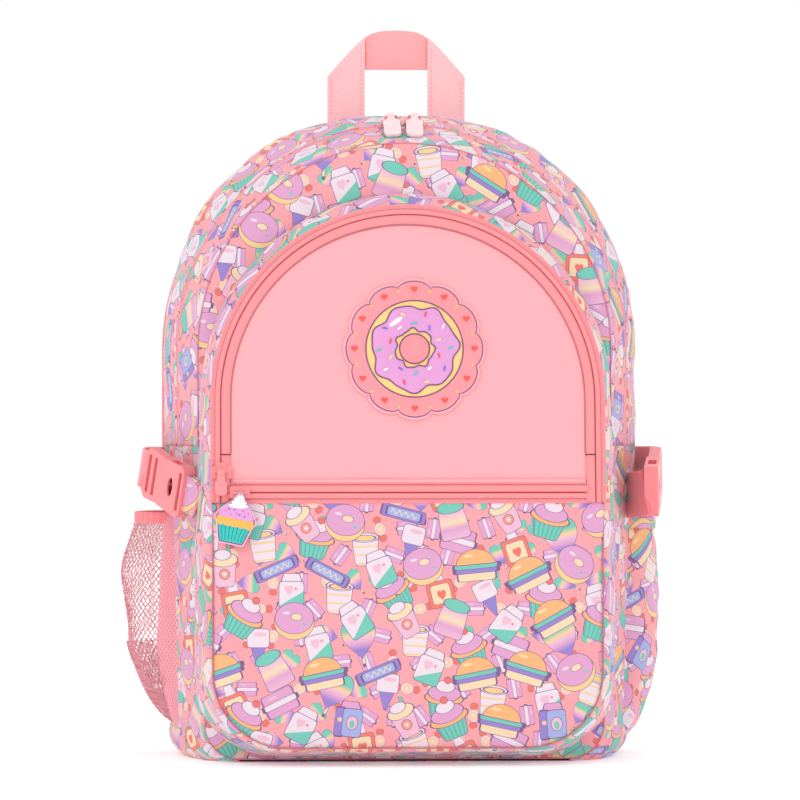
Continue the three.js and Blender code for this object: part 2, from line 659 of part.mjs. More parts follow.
function shoulderStraps() {
  const lockY = strapCentre(1).y;
  bothSides((name, side) => {
    const strap = (u, v, w) => {
      const c = strapCentre(u);
      const ahead = strapCentre(Math.min(1, u + 0.01)).sub(strapCentre(Math.max(0, u - 0.01)));
      const across = v3(-ahead.z, 0, ahead.x).normalize();
      const ends = Math.min(1, Math.sqrt(Math.max(0, 1 - Math.max(0, (u - 0.93) / 0.07) ** 2)) + 0.35);
      const thick = lerp(6, STRAP_T, Math.min(1, u * 6)) * (1 - 0.35 * (2 * v - 1) ** 2);
      c.addScaledVector(across, (2 * v - 1) * strapHalf(u) * ends);
      c.y += (w - 0.5) * thick;
      c.x *= side;
      return c;
    };
    add(`shoulder_strap_${name}`, slab(18, 4, strap), COLOUR.pad);

    const x = side * strapCentre(1).x;
    const half = WEBBING_W / 2;
    const lockTop = STRAP_END_Z - 12;
    const endY = lockY - WEBBING_T / 2;
    const loop = box(x - half, x + half, endY, endY + WEBBING_T, lockTop + GAP, STRAP_END_Z - GAP);
    add(`strap_end_webbing_${name}`, loop, COLOUR.webbing);

    const lock = new THREE.Shape();
    const [w, l] = [LOCK_W / 2, LOCK_L];
    lock.moveTo(-w + 3, 0).lineTo(w - 3, 0).lineTo(w, -3).lineTo(w, -l + 3).lineTo(w - 3, -l);
    lock.lineTo(-w + 3, -l).lineTo(-w, -l + 3).lineTo(-w, -3);
    for (const [z0, z1] of [[-3.5, -9], [-12.5, -17]]) {
      const slot = new THREE.Path();
      slot.moveTo(-half - 0.6, z0).lineTo(-half - 0.6, z1).lineTo(half + 0.6, z1).lineTo(half + 0.6, z0);
      lock.holes.push(slot);
    }
    const lockMesh = add(`ladder_lock_${name}`, plate(lock, -2, 2), COLOUR.plastic, bag, 0.4);
    lockMesh.position.set(x, lockY, lockTop);

    const tail = box(x - half, x + half, lockY + 2.3, lockY + 2.3 + WEBBING_T, 32, lockTop - 11);
    add(`webbing_tail_${name}`, tail, COLOUR.webbing);

    const wingY = BACK_OUT + GAP;
    const lower = [
      v3(side * 126, wingY + 4.6, 24),
      v3(side * 123, wingY + 8, 46),
      v3(side * 114, wingY + 10, 74),
      v3(x, lockY - 1.5, lockTop - LOCK_L - 7),
      v3(x, lockY - 0.5, lockTop - LOCK_L - 0.6),
    ];
    add(`lower_webbing_${name}`, ribbon(lower, v3(1, 0, 0), 8), COLOUR.webbing);

    const wing = new THREE.Shape();
    wing.moveTo(side * 147, 30);
    wing.lineTo(side * 112, 18);
    wing.lineTo(side * 110, 34);
    wing.lineTo(side * 138, 58);
    wing.lineTo(side * 148, 54);
    add(`strap_wing_${name}`, plate(wing, wingY, wingY + 2.2), COLOUR.print);
  });
}

// ---------------------------------------------------------------- side pockets
// How far a pocket's wall stands off the side: share along the depth, and height.
function sidePocket(side, opts) {
  const { name, colour, bulge, bottom, top, mouth, thick } = opts;
  const [y0, y1] = [10, 74];
  const offset = (share, z) => {
    const up = THREE.MathUtils.clamp((z - bottom) / (top - bottom), 0, 1);
    const rise = Math.sin((Math.PI / 2) * Math.min(1, up / 0.55)) ** 0.8;
    const fall = lerp(1, mouth, THREE.MathUtils.smoothstep(up, 0.55, 1));
    return 1.2 + bulge * Math.sin(Math.PI * share) ** 0.55 * rise * fall;
  };
  const at = (z0, z1, extra, depth) => (u, v, w) => {
    const y = lerp(y0, y1, u);
    const z = lerp(z0, z1, v);
    const corner = BASE_CORNER - Math.sqrt(Math.max(0, BASE_CORNER ** 2 - Math.max(0, BASE_CORNER - z) ** 2));
    const x = bodyRadius(y) - taper(z) - corner + offset(u, z) + extra - depth * w;
    return v3(side * x, y, z);
  };
  add(name, slab(10, 8, at(bottom, top, thick - 0.2, thick)), colour);
  add(`${name}_binding`, slab(10, 1, at(top + GAP, top + 8, thick + 0.6, thick + 0.8)), COLOUR.webbing);
}

// ---------------------------------------------------------------- side clips
const CLIP = { w: 34, t: 9, socket: 28, prong: 23, wall: 1.8 };

// Along the strap is X, from the bag towards the strap's free end; width along Z; outwards -Y.
function clipParts() {
  const { w, t, socket, wall } = CLIP;
  const half = w / 2;
  const shell = new THREE.Shape();
  shell.moveTo(0, -half + 3).lineTo(3, -half).lineTo(socket, -half + 1).lineTo(socket, half - 1);
  shell.lineTo(3, half).lineTo(0, half - 3);
  const room = box(8, socket + 1, -t + wall, -wall, -half + 3.5, half - 3.5);
  const slot = box(2.5, 6, -t - 1, 1, -WEBBING_W / 2, WEBBING_W / 2);
  const windows = box(10, 20, -t + wall, -wall, -half - 1, half + 1);
  const eye = new THREE.CylinderGeometry(4, 4, 4, 12).scale(0.8, 1, 1.6).translate(15, -t, 0);
  const female = cut(plate(shell, -t, 0), room, slot, windows, eye);

  const base = new THREE.Shape();
  const end = socket + CLIP.prong;
  base.moveTo(socket + 0.5, -half + 1).lineTo(end - 5, -half).lineTo(end, -half + 5);
  base.lineTo(end, half - 5).lineTo(end - 5, half).lineTo(socket + 0.5, half - 1);
  const ladder = [7, 14.5].map((x) => {
    return box(socket + x, socket + x + 3.5, -t - 1, 1, -WEBBING_W / 2, WEBBING_W / 2);
  });
  const body = cut(plate(base, -t + 0.8, -0.8), ...ladder);
  const [armIn, armOut] = [wall + 0.4, t - wall - 0.4];
  const arms = [-1, 1].map((s) => {
    const [a, b] = [s * (half - 8), s * (half - 4)];
    return box(11, socket + 2, -armOut, -armIn, Math.min(a, b), Math.max(a, b));
  });
  const guide = box(20, socket + 2, -armOut, -armIn, -1.5, 1.5);
  return { female, male: join(body, ...arms, guide) };
}

// Where each clip's bag end sits, its heading from straight back, and the seam its tab is sewn in.
const CLIPS = {
  left: { side: -1, at: [-137, -44, 173], heading: 31, seam: [-133.4, -55.5, 168] },
  right: { side: 1, at: [156, -30, 173], heading: 10, seam: [133.6, -54, 168] },
};
const CLIP_RISE = 17; // degrees that each clip rises towards the back

function sideClips() {
  for (const [name, { side, at, heading, seam }] of Object.entries(CLIPS)) {
    const turn = THREE.MathUtils.degToRad(heading);
    const rise = THREE.MathUtils.degToRad(CLIP_RISE);
    const along = v3(side * Math.sin(turn), Math.cos(turn), 0);
    const inward = v3(-side * Math.cos(turn), Math.sin(turn), 0);
    const mount = new THREE.Group();
    mount.position.set(...at);
    const level = new THREE.Matrix4().makeBasis(along, inward, v3(0, 0, side));
    mount.quaternion.setFromRotationMatrix(level);
    mount.rotateY(-side * rise);
    bag.add(mount);
    mount.updateMatrixWorld();
    const { female, male } = clipParts();
    add(`buckle_socket_${name}`, female, COLOUR.plastic, mount, 0.4);
    add(`buckle_prongs_${name}`, male, COLOUR.plastic, mount, 0.4);

    const spot = (x) => v3(x, -CLIP.t / 2, 0).applyMatrix4(mount.matrixWorld);
    const wide = v3(0, 0, 1).transformDirection(mount.matrixWorld);
    const tab = ribbon([v3(...seam), spot(-6), spot(-0.5)], wide, 4, WEBBING_W - 1);
    add(`clip_tab_${name}`, tab, COLOUR.webbing);
    const end = CLIP.socket + CLIP.prong;
    const rear = v3(side * (REAR_R + 6), REAR_Y - 4, 190);
    const webbing = ribbon([spot(end + 0.5), spot(end + 8), rear], wide, 6);
    add(`clip_webbing_${name}`, webbing, COLOUR.webbing);
  }
}

mainCompartment();
mainZip();
mainSliders();
frontPocket();
pocketZips();
flap();
pocketSliders();
back();
carryHandle();
shoulderStraps();
sidePocket(-1, {
  name: "mesh_pocket",
  colour: COLOUR.mesh,
  bulge: 24,
  bottom: 22,
  top: 152,
  mouth: 0.55,
  thick: 1.6,
});
sidePocket(1, {
  name: "fabric_pocket",
  colour: COLOUR.print,
  bulge: 12,
  bottom: 22,
  top: 148,
  mouth: 0.8,
  thick: 1.6,
});
sideClips();

export default bag;
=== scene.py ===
"""Looks of the school backpack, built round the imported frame. Sizes are in millimetres."""
import math
import random

import bmesh
import bpy
from mathutils import Matrix, Vector, noise


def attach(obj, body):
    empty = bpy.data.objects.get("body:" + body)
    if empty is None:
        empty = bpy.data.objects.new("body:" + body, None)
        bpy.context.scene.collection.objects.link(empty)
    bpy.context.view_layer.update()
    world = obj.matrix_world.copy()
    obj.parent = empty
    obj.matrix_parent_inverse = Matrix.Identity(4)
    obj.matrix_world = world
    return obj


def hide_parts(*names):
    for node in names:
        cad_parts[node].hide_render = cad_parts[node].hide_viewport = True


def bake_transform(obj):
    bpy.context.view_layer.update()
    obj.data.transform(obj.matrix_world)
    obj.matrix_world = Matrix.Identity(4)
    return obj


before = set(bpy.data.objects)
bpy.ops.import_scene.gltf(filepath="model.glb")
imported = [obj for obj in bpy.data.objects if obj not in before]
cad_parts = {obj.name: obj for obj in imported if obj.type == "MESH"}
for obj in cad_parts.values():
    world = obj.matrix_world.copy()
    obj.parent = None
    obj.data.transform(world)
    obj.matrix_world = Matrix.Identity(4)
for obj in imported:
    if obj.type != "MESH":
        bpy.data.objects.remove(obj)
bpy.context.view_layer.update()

MM = 0.001  # in Blender's metres
TAU = 2 * math.pi

# ---------------------------------------------------------------- driving dimensions, as the frame has them
ARCH_Z = 266  # centre of the body's round top
WIDEST_R = 155
FRONT_R = 134
REAR_R = 152
FRONT_Y = -36
WIDEST_Y = 45
REAR_Y = 78
CLOTH_T = 1.2
POCKET_CLOTH_T = 1.1
BASE_CORNER = 22
BASE_TAPER = 5
BASE_FULLNESS = 4.5  # the stuffed cloth stands out this far at the base corners
ZIP_END_Z = 205
WELT_EDGE = 1.9  # the cloth's folded edges leave this much of the main zip bare on each side of its slit
WELT_RISE = 1.1
LAP = 0.06  # a strip's end lies this far over the side wall below it
SHOULDER_SWELL = 6.5  # the cloth over its shoulders stands out past a round arch
MAIN_ZIP_Y = -5
MAIN_LIP = (3.7, 3.0)  # a lip's width and its ridge's
POCKET_Y = -84
POCKET_HALF = 126
POCKET_BASE_HALF = 132
POCKET_BOTTOM = 10
POCKET_CORNER = 50
FLAP_TILT = math.radians(7)
PANEL_Y0, PANEL_Y1 = 10, 74  # the side pockets' front and rear seams
POCKET_MOUTH = 160
TILT_Z = 175
POCKET_ARCH = 59
ARCH_ZIP_R = 119.5
FLAP_CLOTH_R = 113.2  # the cloth runs up to the inner lip of the arch zip
FLAP_HINGE = 22
HEM_LOW = 6.8
LIP_RISE = 1.8  # of the arch zip's inner lip, which clears its own foot when the flap folds
LIP_WIDTH = 6.3
LOWER_ZIP_Z = 174.5
LOWER_LIPS = ((6.9, 3.7), (6.3, 4.6))  # below and above its slit, as the main zip's
BADGE_X, BADGE_UP = 4, 91
BACK_OUT = 80.8
BACK_FACE = 81.1  # what is sewn on the back panel starts here
WEBBING_W = 25
WEBBING_T = 2
RNG = random.Random(7)


# ---------------------------------------------------------------- small helpers
def lerp(a, b, t):
    return a + (b - a) * t


def clamp(x, low=0.0, high=1.0):
    return max(low, min(high, x))


def smooth(a, b, x):
    t = clamp((x - a) / (b - a))
    return t * t * (3 - 2 * t)


def ripple(x, y, z, size, seed=0.0):
    """Smooth noise from -1 to 1 with bumps about size millimetres across."""
    return noise.noise(Vector((x / size + seed, y / size - seed, z / size + 2 * seed)))


def circle(radius, count):
    """Points (across, up) round a circle."""
    return [(radius * math.cos(TAU * k / count), radius * math.sin(TAU * k / count)) for k in range(count)]


def linear(r, g, b):
    """A colour given as 0 to 255 on screen, as a shader takes it."""
    out = []
    for c in (r, g, b):
        c /= 255
        out.append(c / 12.92 if c <= 0.04045 else ((c + 0.055) / 1.055) ** 2.4)
    return (*out, 1.0)


# ---------------------------------------------------------------- mesh builders
def wall_faces(rows, count, start=0):
    """Faces between neighbouring rows of count points, where every row is closed."""
    faces = []
    for a in range(start, start + (rows - 1) * count, count):
        b = a + count
        for k in range(count):
            m = (k + 1) % count
            faces.append((a + k, a + m, b + m, b + k))
    return faces


def make(name, verts, faces, uvs=None, material=None):
    """A mesh object from points in millimetres; uvs are one (u, v) in metres for each point."""
    mesh = bpy.data.meshes.new(name)
    mesh.from_pydata([Vector(v) * MM for v in verts], [], faces)
    if uvs is not None:
        layer = mesh.uv_layers.new(name="cloth")
        for loop in mesh.loops:
            layer.data[loop.index].uv = uvs[loop.vertex_index]
    obj = bpy.data.objects.new(name, mesh)
    bpy.context.collection.objects.link(obj)
    mesh.shade_smooth()
    if material:
        mesh.materials.append(material)
    return obj


def thicken(obj, millimetres, offset=-1.0):
    m = obj.modifiers.new("thickness", "SOLIDIFY")
    m.thickness = millimetres * MM
    m.offset = offset
    return obj


def apply_modifiers(obj):
    bpy.context.view_layer.update()
    graph = bpy.context.evaluated_depsgraph_get()
    mesh = bpy.data.meshes.new_from_object(obj.evaluated_get(graph))
    obj.modifiers.clear()
    obj.data = mesh
    return obj


def join(name, objects):
    """One object from several, in the place of the first."""
    bm = bmesh.new()
    materials = []
    for o in objects:
        apply_modifiers(o)
        offset = len(materials)
        materials.extend(o.data.materials)
        start = len(bm.faces)
        o.data.transform(o.matrix_world)
        bm.from_mesh(o.data)
        bm.faces.ensure_lookup_table()
        for f in bm.faces[start:]:
            f.material_index += offset
    mesh = bpy.data.meshes.new(name)
    bm.to_mesh(mesh)
    bm.free()
    for m in materials:
        mesh.materials.append(m)
    for o in objects:
        bpy.data.objects.remove(o)
    obj = bpy.data.objects.new(name, mesh)
    bpy.context.collection.objects.link(obj)
    return obj


def lengths_along(points):
    out = [0.0]
    for a, b in zip(points, points[1:]):
        out.append(out[-1] + (b - a).length)
    return out


def grid(name, nu, nv, at, material, ring=False, uv_start=(0.0, 0.0), flip=False, fitted=False):
    """A sheet at(u, v) over 0..1 by 0..1. Its cloth coordinates are its own lengths, in metres.
    They are measured along its middle lines, or along every line across it where it is fitted."""
    rows = nu if ring else nu + 1
    pts = [[Vector(at(i / nu, j / nv)) for j in range(nv + 1)] for i in range(rows)]
    us = lengths_along([row[nv // 2] for row in pts])
    verts, uvs = [], []
    for i in range(rows):
        vs = lengths_along(pts[i if fitted else rows // 2])
        for j in range(nv + 1):
            verts.append(pts[i][j])
            uvs.append((us[i] * MM + uv_start[0], vs[j] * MM + uv_start[1]))
    faces = []
    for i in range(nu):
        a, b = i * (nv + 1), ((i + 1) % rows) * (nv + 1)
        for j in range(nv):
            face = (a + j, b + j, b + j + 1, a + j + 1)
            faces.append(face[::-1] if flip else face)
    return make(name, verts, faces, uvs, material)


class Outline:
    """A rectangle in X and Z whose two lower and two upper corners are round."""

    def __init__(self, x0, x1, z0, z1, lower, upper):
        self.x0, self.x1, self.z0, self.z1, self.lower, self.upper = x0, x1, z0, z1, lower, upper

    def loop(self, count, inset=0.0):
        """count points at equal steps, counter-clockwise from the middle of the lower side."""
        x0, x1, z0, z1 = self.x0 + inset, self.x1 - inset, self.z0 + inset, self.z1 - inset
        low, up = max(0.3, self.lower - inset), max(0.3, self.upper - inset)
        mid = (x0 + x1) / 2
        runs = [
            ("line", (mid, z0), (x1 - low, z0)),
            ("arc", (x1 - low, z0 + low), low, -90),
            ("line", (x1, z0 + low), (x1, z1 - up)),
            ("arc", (x1 - up, z1 - up), up, 0),
            ("line", (x1 - up, z1), (x0 + up, z1)),
            ("arc", (x0 + up, z1 - up), up, 90),
            ("line", (x0, z1 - up), (x0, z0 + low)),
            ("arc", (x0 + low, z0 + low), low, 180),
            ("line", (x0 + low, z0), (mid, z0)),
        ]
        lengths = [math.dist(r[1], r[2]) if r[0] == "line" else r[2] * math.pi / 2 for r in runs]
        total = sum(lengths)
        out = []
        for i in range(count):
            d = total * i / count
            k = 0
            while k < len(runs) - 1 and d > lengths[k]:
                d -= lengths[k]
                k += 1
            r = runs[k]
            t = d / lengths[k] if lengths[k] > 1e-6 else 0.0
            if r[0] == "line":
                out.append((lerp(r[1][0], r[2][0], t), lerp(r[1][1], r[2][1], t)))
            else:
                a = math.radians(r[3] + 90 * t)
                out.append((r[1][0] + r[2] * math.cos(a), r[1][1] + r[2] * math.sin(a)))
        return out

    def half(self):
        return min(self.x1 - self.x0, self.z1 - self.z0) / 2


def panel(name, outline, count, insets, place, material, uv_start=(0.0, 0.0), flip=False):
    """A panel inside an outline: place(x, z, inset) gives each point, and insets are its rings."""
    verts, uvs = [], []
    for inset in insets:
        for x, z in outline.loop(count, inset):
            verts.append(place(x, z, inset))
            uvs.append((x * MM + uv_start[0], z * MM + uv_start[1]))
    faces = wall_faces(len(insets), count)
    last = outline.loop(count, insets[-1])
    cx, cz = sum(p[0] for p in last) / count, sum(p[1] for p in last) / count
    verts.append(place(cx, cz, insets[-1]))
    uvs.append((cx * MM + uv_start[0], cz * MM + uv_start[1]))
    start = (len(insets) - 1) * count
    for i in range(count):
        faces.append((start + i, start + (i + 1) % count, len(verts) - 1))
    if flip:
        faces = [f[::-1] for f in faces]
    return make(name, verts, faces, uvs, material)


def rings(outline, step, fine=(0, 0.6, 1.4, 2.6, 4.2, 6.5)):
    """Insets for a panel: close together at its edge, then one every step."""
    out = list(fine)
    while out[-1] + step < outline.half() - 1:
        out.append(out[-1] + step)
    return out


def sweep(name, stations, profile, material, closed=False, caps=True, uv_start=0.0):
    """A profile of (across, up) pairs along stations of (point, across, up)."""
    n = len(profile)
    around = [0.0]
    for k in range(1, n):
        around.append(around[-1] + math.dist(profile[k], profile[k - 1]))
    verts, uvs, faces = [], [], []
    along = uv_start
    before = None
    for point, across, up in stations:
        point = Vector(point)
        if before is not None:
            along += (point - before).length
        before = point
        for k, (a, b) in enumerate(profile):
            verts.append(point + Vector(across) * a + Vector(up) * b)
            uvs.append((along * MM, around[k] * MM))
    count = len(stations)
    for i in range(count if closed else count - 1):
        a, b = i * n, ((i + 1) % count) * n
        for k in range(n):
            m = (k + 1) % n
            faces.append((a + k, b + k, b + m, a + m))
    if caps and not closed:
        faces.append(tuple(range(n)))
        faces.append(tuple(range((count - 1) * n, count * n))[::-1])
    obj = make(name, verts, faces, uvs, material)
    fix_normals(obj)
    return obj


def fix_normals(obj):
    bm = bmesh.new()
    bm.from_mesh(obj.data)
    bmesh.ops.recalc_face_normals(bm, faces=bm.faces)
    bm.to_mesh(obj.data)
    bm.free()


def band(width, thick, soft=0.45, steps=3):
    """The section of a flat strap with round edges."""
    w, t = width / 2, thick / 2
    r = min(t, soft * thick)
    out = []
    corners = ((w - r, -t + r, -90), (w - r, t - r, 0), (-w + r, t - r, 90), (-w + r, -t + r, 180))
    for cx, cy, start in corners:
        for k in range(steps + 1):
            a = math.radians(start + 90 * k / steps)
            out.append((cx + r * math.cos(a), cy + r * math.sin(a)))
    return out


def curve_through(points, steps):
    """Points along a smooth line through the points given."""
    pts = [Vector(p) for p in points]
    pts = [pts[0] * 2 - pts[1], *pts, pts[-1] * 2 - pts[-2]]
    out = []
    for i in range(1, len(pts) - 2):
        p0, p1, p2, p3 = pts[i - 1 : i + 3]
        for k in range(steps):
            t = k / steps
            a = 2 * p1 + (p2 - p0) * t
            b = (2 * p0 - 5 * p1 + 4 * p2 - p3) * t * t
            c = (3 * p1 - p0 - 3 * p2 + p3) * t**3
            out.append((a + b + c) / 2)
    out.append(pts[-2])
    return out


def webbing(name, points, wide, material, width=WEBBING_W, thick=WEBBING_T, steps=8):
    """Webbing along a smooth line, its width as near as can be to the direction wide."""
    line = curve_through(points, steps)
    wide = Vector(wide)
    stations = []
    for i, p in enumerate(line):
        t = (line[min(i + 1, len(line) - 1)] - line[max(i - 1, 0)]).normalized()
        across = (wide - t * wide.dot(t)).normalized()
        stations.append((p, across, t.cross(across)))
    return sweep(name, stations, band(width, thick), material)


STITCH_SIDES = 6
STITCH_LIFT = 0.15
STITCH_SINK = 0.12  # its ends lie this much lower
# sections of one stitch: (share of its length, share of its thickness)
STITCH_SHAPE = ((-0.5, 0.25), (-0.3, 1.0), (0.3, 1.0), (0.5, 0.25))


def stitches(name, points, outward, material, pitch=3.2, long=2.2, thick=0.35):
    """A row of stitches: outward is one direction, or one for each point."""
    pts = [Vector(p) for p in points]
    outs = [Vector(o) for o in outward] if isinstance(outward, list) else [Vector(outward)] * len(pts)
    verts, faces = [], []
    carry = pitch / 2
    for i in range(len(pts) - 1):
        seg = pts[i + 1] - pts[i]
        length = seg.length
        if length < 1e-6:
            continue
        t = seg / length
        n = outs[i].normalized()
        side = t.cross(n).normalized()
        while carry < length:
            c = pts[i] + t * carry + n * STITCH_LIFT
            base = len(verts)
            for a, w in STITCH_SHAPE:
                middle = c + t * (a * long) - n * (STITCH_SINK if w < 1 else 0.0)
                for across, up in circle(thick / 2 * w, STITCH_SIDES):
                    verts.append(middle + side * across + n * up)
            faces.extend(wall_faces(len(STITCH_SHAPE), STITCH_SIDES, base))
            faces.append(tuple(range(base, base + STITCH_SIDES))[::-1])
            faces.append(tuple(range(len(verts) - STITCH_SIDES, len(verts))))
            carry += pitch
        carry -= length
    obj = make(name, verts, faces, None, material)
    fix_normals(obj)
    return obj


def refined(node, material, bevel=0.35, segments=2):
    """A copy of a CAD node with its edges rounded, for moulded pieces."""
    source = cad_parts[node]
    mesh = source.data.copy()
    bm = bmesh.new()
    bm.from_mesh(mesh)
    bmesh.ops.remove_doubles(bm, verts=bm.verts, dist=1e-6)
    bmesh.ops.dissolve_limit(bm, angle_limit=math.radians(4), verts=bm.verts, edges=bm.edges)
    bm.to_mesh(mesh)
    bm.free()
    mesh.materials.clear()
    mesh.materials.append(material)
    obj = bpy.data.objects.new(f"{node}_moulding", mesh)
    bpy.context.collection.objects.link(obj)
    m = obj.modifiers.new("edges", "BEVEL")
    m.width = bevel * MM
    m.segments = segments
    m.limit_method = "ANGLE"
    m.angle_limit = math.radians(35)
    m.use_clamp_overlap = True
    mesh.shade_smooth()
    n = obj.modifiers.new("shading", "WEIGHTED_NORMAL")
    n.keep_sharp = False
    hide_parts(node)
    return obj


# ---------------------------------------------------------------- shader building
class Net:
    """Short forms for shader nodes. Sockets or plain values go in, a socket comes out."""

    def __init__(self, tree):
        self.tree = tree

    def node(self, kind, **settings):
        n = self.tree.nodes.new(kind)
        for key, value in settings.items():
            setattr(n, key, value)
        return n

    def feed(self, socket, value):
        if isinstance(value, bpy.types.NodeSocket):
            self.tree.links.new(value, socket)
        elif value is not None:
            socket.default_value = value

    def math(self, op, a, b=None, c=None, clamp=False):
        n = self.node("ShaderNodeMath", operation=op, use_clamp=clamp)
        for i, value in enumerate((a, b, c)):
            self.feed(n.inputs[i], value)
        return n.outputs[0]

    def vec(self, op, a, b=None, c=None, scale=None):
        n = self.node("ShaderNodeVectorMath", operation=op)
        for i, value in enumerate((a, b, c, scale)):
            if value is not None:
                self.feed(n.inputs[i], value)
        return n.outputs[1] if op in ("LENGTH", "DOT_PRODUCT") else n.outputs[0]

    def split(self, v):
        n = self.node("ShaderNodeSeparateXYZ")
        self.feed(n.inputs[0], v)
        return n.outputs

    def combine(self, x, y, z=0.0):
        n = self.node("ShaderNodeCombineXYZ")
        for i, value in enumerate((x, y, z)):
            self.feed(n.inputs[i], value)
        return n.outputs[0]

    def mix(self, factor, a, b, kind="MIX"):
        n = self.node("ShaderNodeMix", data_type="RGBA", blend_type=kind)
        self.feed(n.inputs[0], factor)
        self.feed(n.inputs[6], a)
        self.feed(n.inputs[7], b)
        return n.outputs[2]

    def ramp(self, factor, stops, hard=False):
        n = self.node("ShaderNodeValToRGB")
        n.color_ramp.interpolation = "CONSTANT" if hard else "LINEAR"
        while len(n.color_ramp.elements) < len(stops):
            n.color_ramp.elements.new(0.5)
        for element, (at, colour) in zip(n.color_ramp.elements, stops):
            element.position = at
            element.color = colour
        self.feed(n.inputs[0], factor)
        return n.outputs[0]

    def noise(self, vector, scale, detail=2.0, rough=0.5, out=0):
        n = self.node("ShaderNodeTexNoise")
        self.feed(n.inputs["Vector"], vector)
        n.inputs["Scale"].default_value = scale
        n.inputs["Detail"].default_value = detail
        n.inputs["Roughness"].default_value = rough
        return n.outputs[out]

    def range(self, value, a, b, c, d):
        n = self.node("ShaderNodeMapRange")
        for i, v in enumerate((value, a, b, c, d)):
            self.feed(n.inputs[i], v)
        return n.outputs[0]


# Pastel print colours
INK = linear(116, 84, 136)
GROUND = linear(247, 156, 162)
LILAC = linear(226, 162, 206)
PALE = linear(240, 190, 212)
WHITE = linear(238, 224, 234)
CREAM = linear(246, 220, 180)
DOUGH = linear(246, 208, 142)
TEAL = linear(104, 204, 184)
ORANGE = linear(248, 182, 118)
RED = linear(238, 112, 96)
VIOLET = linear(146, 128, 208)
SKY = linear(160, 178, 230)
PINK = linear(244, 146, 172)


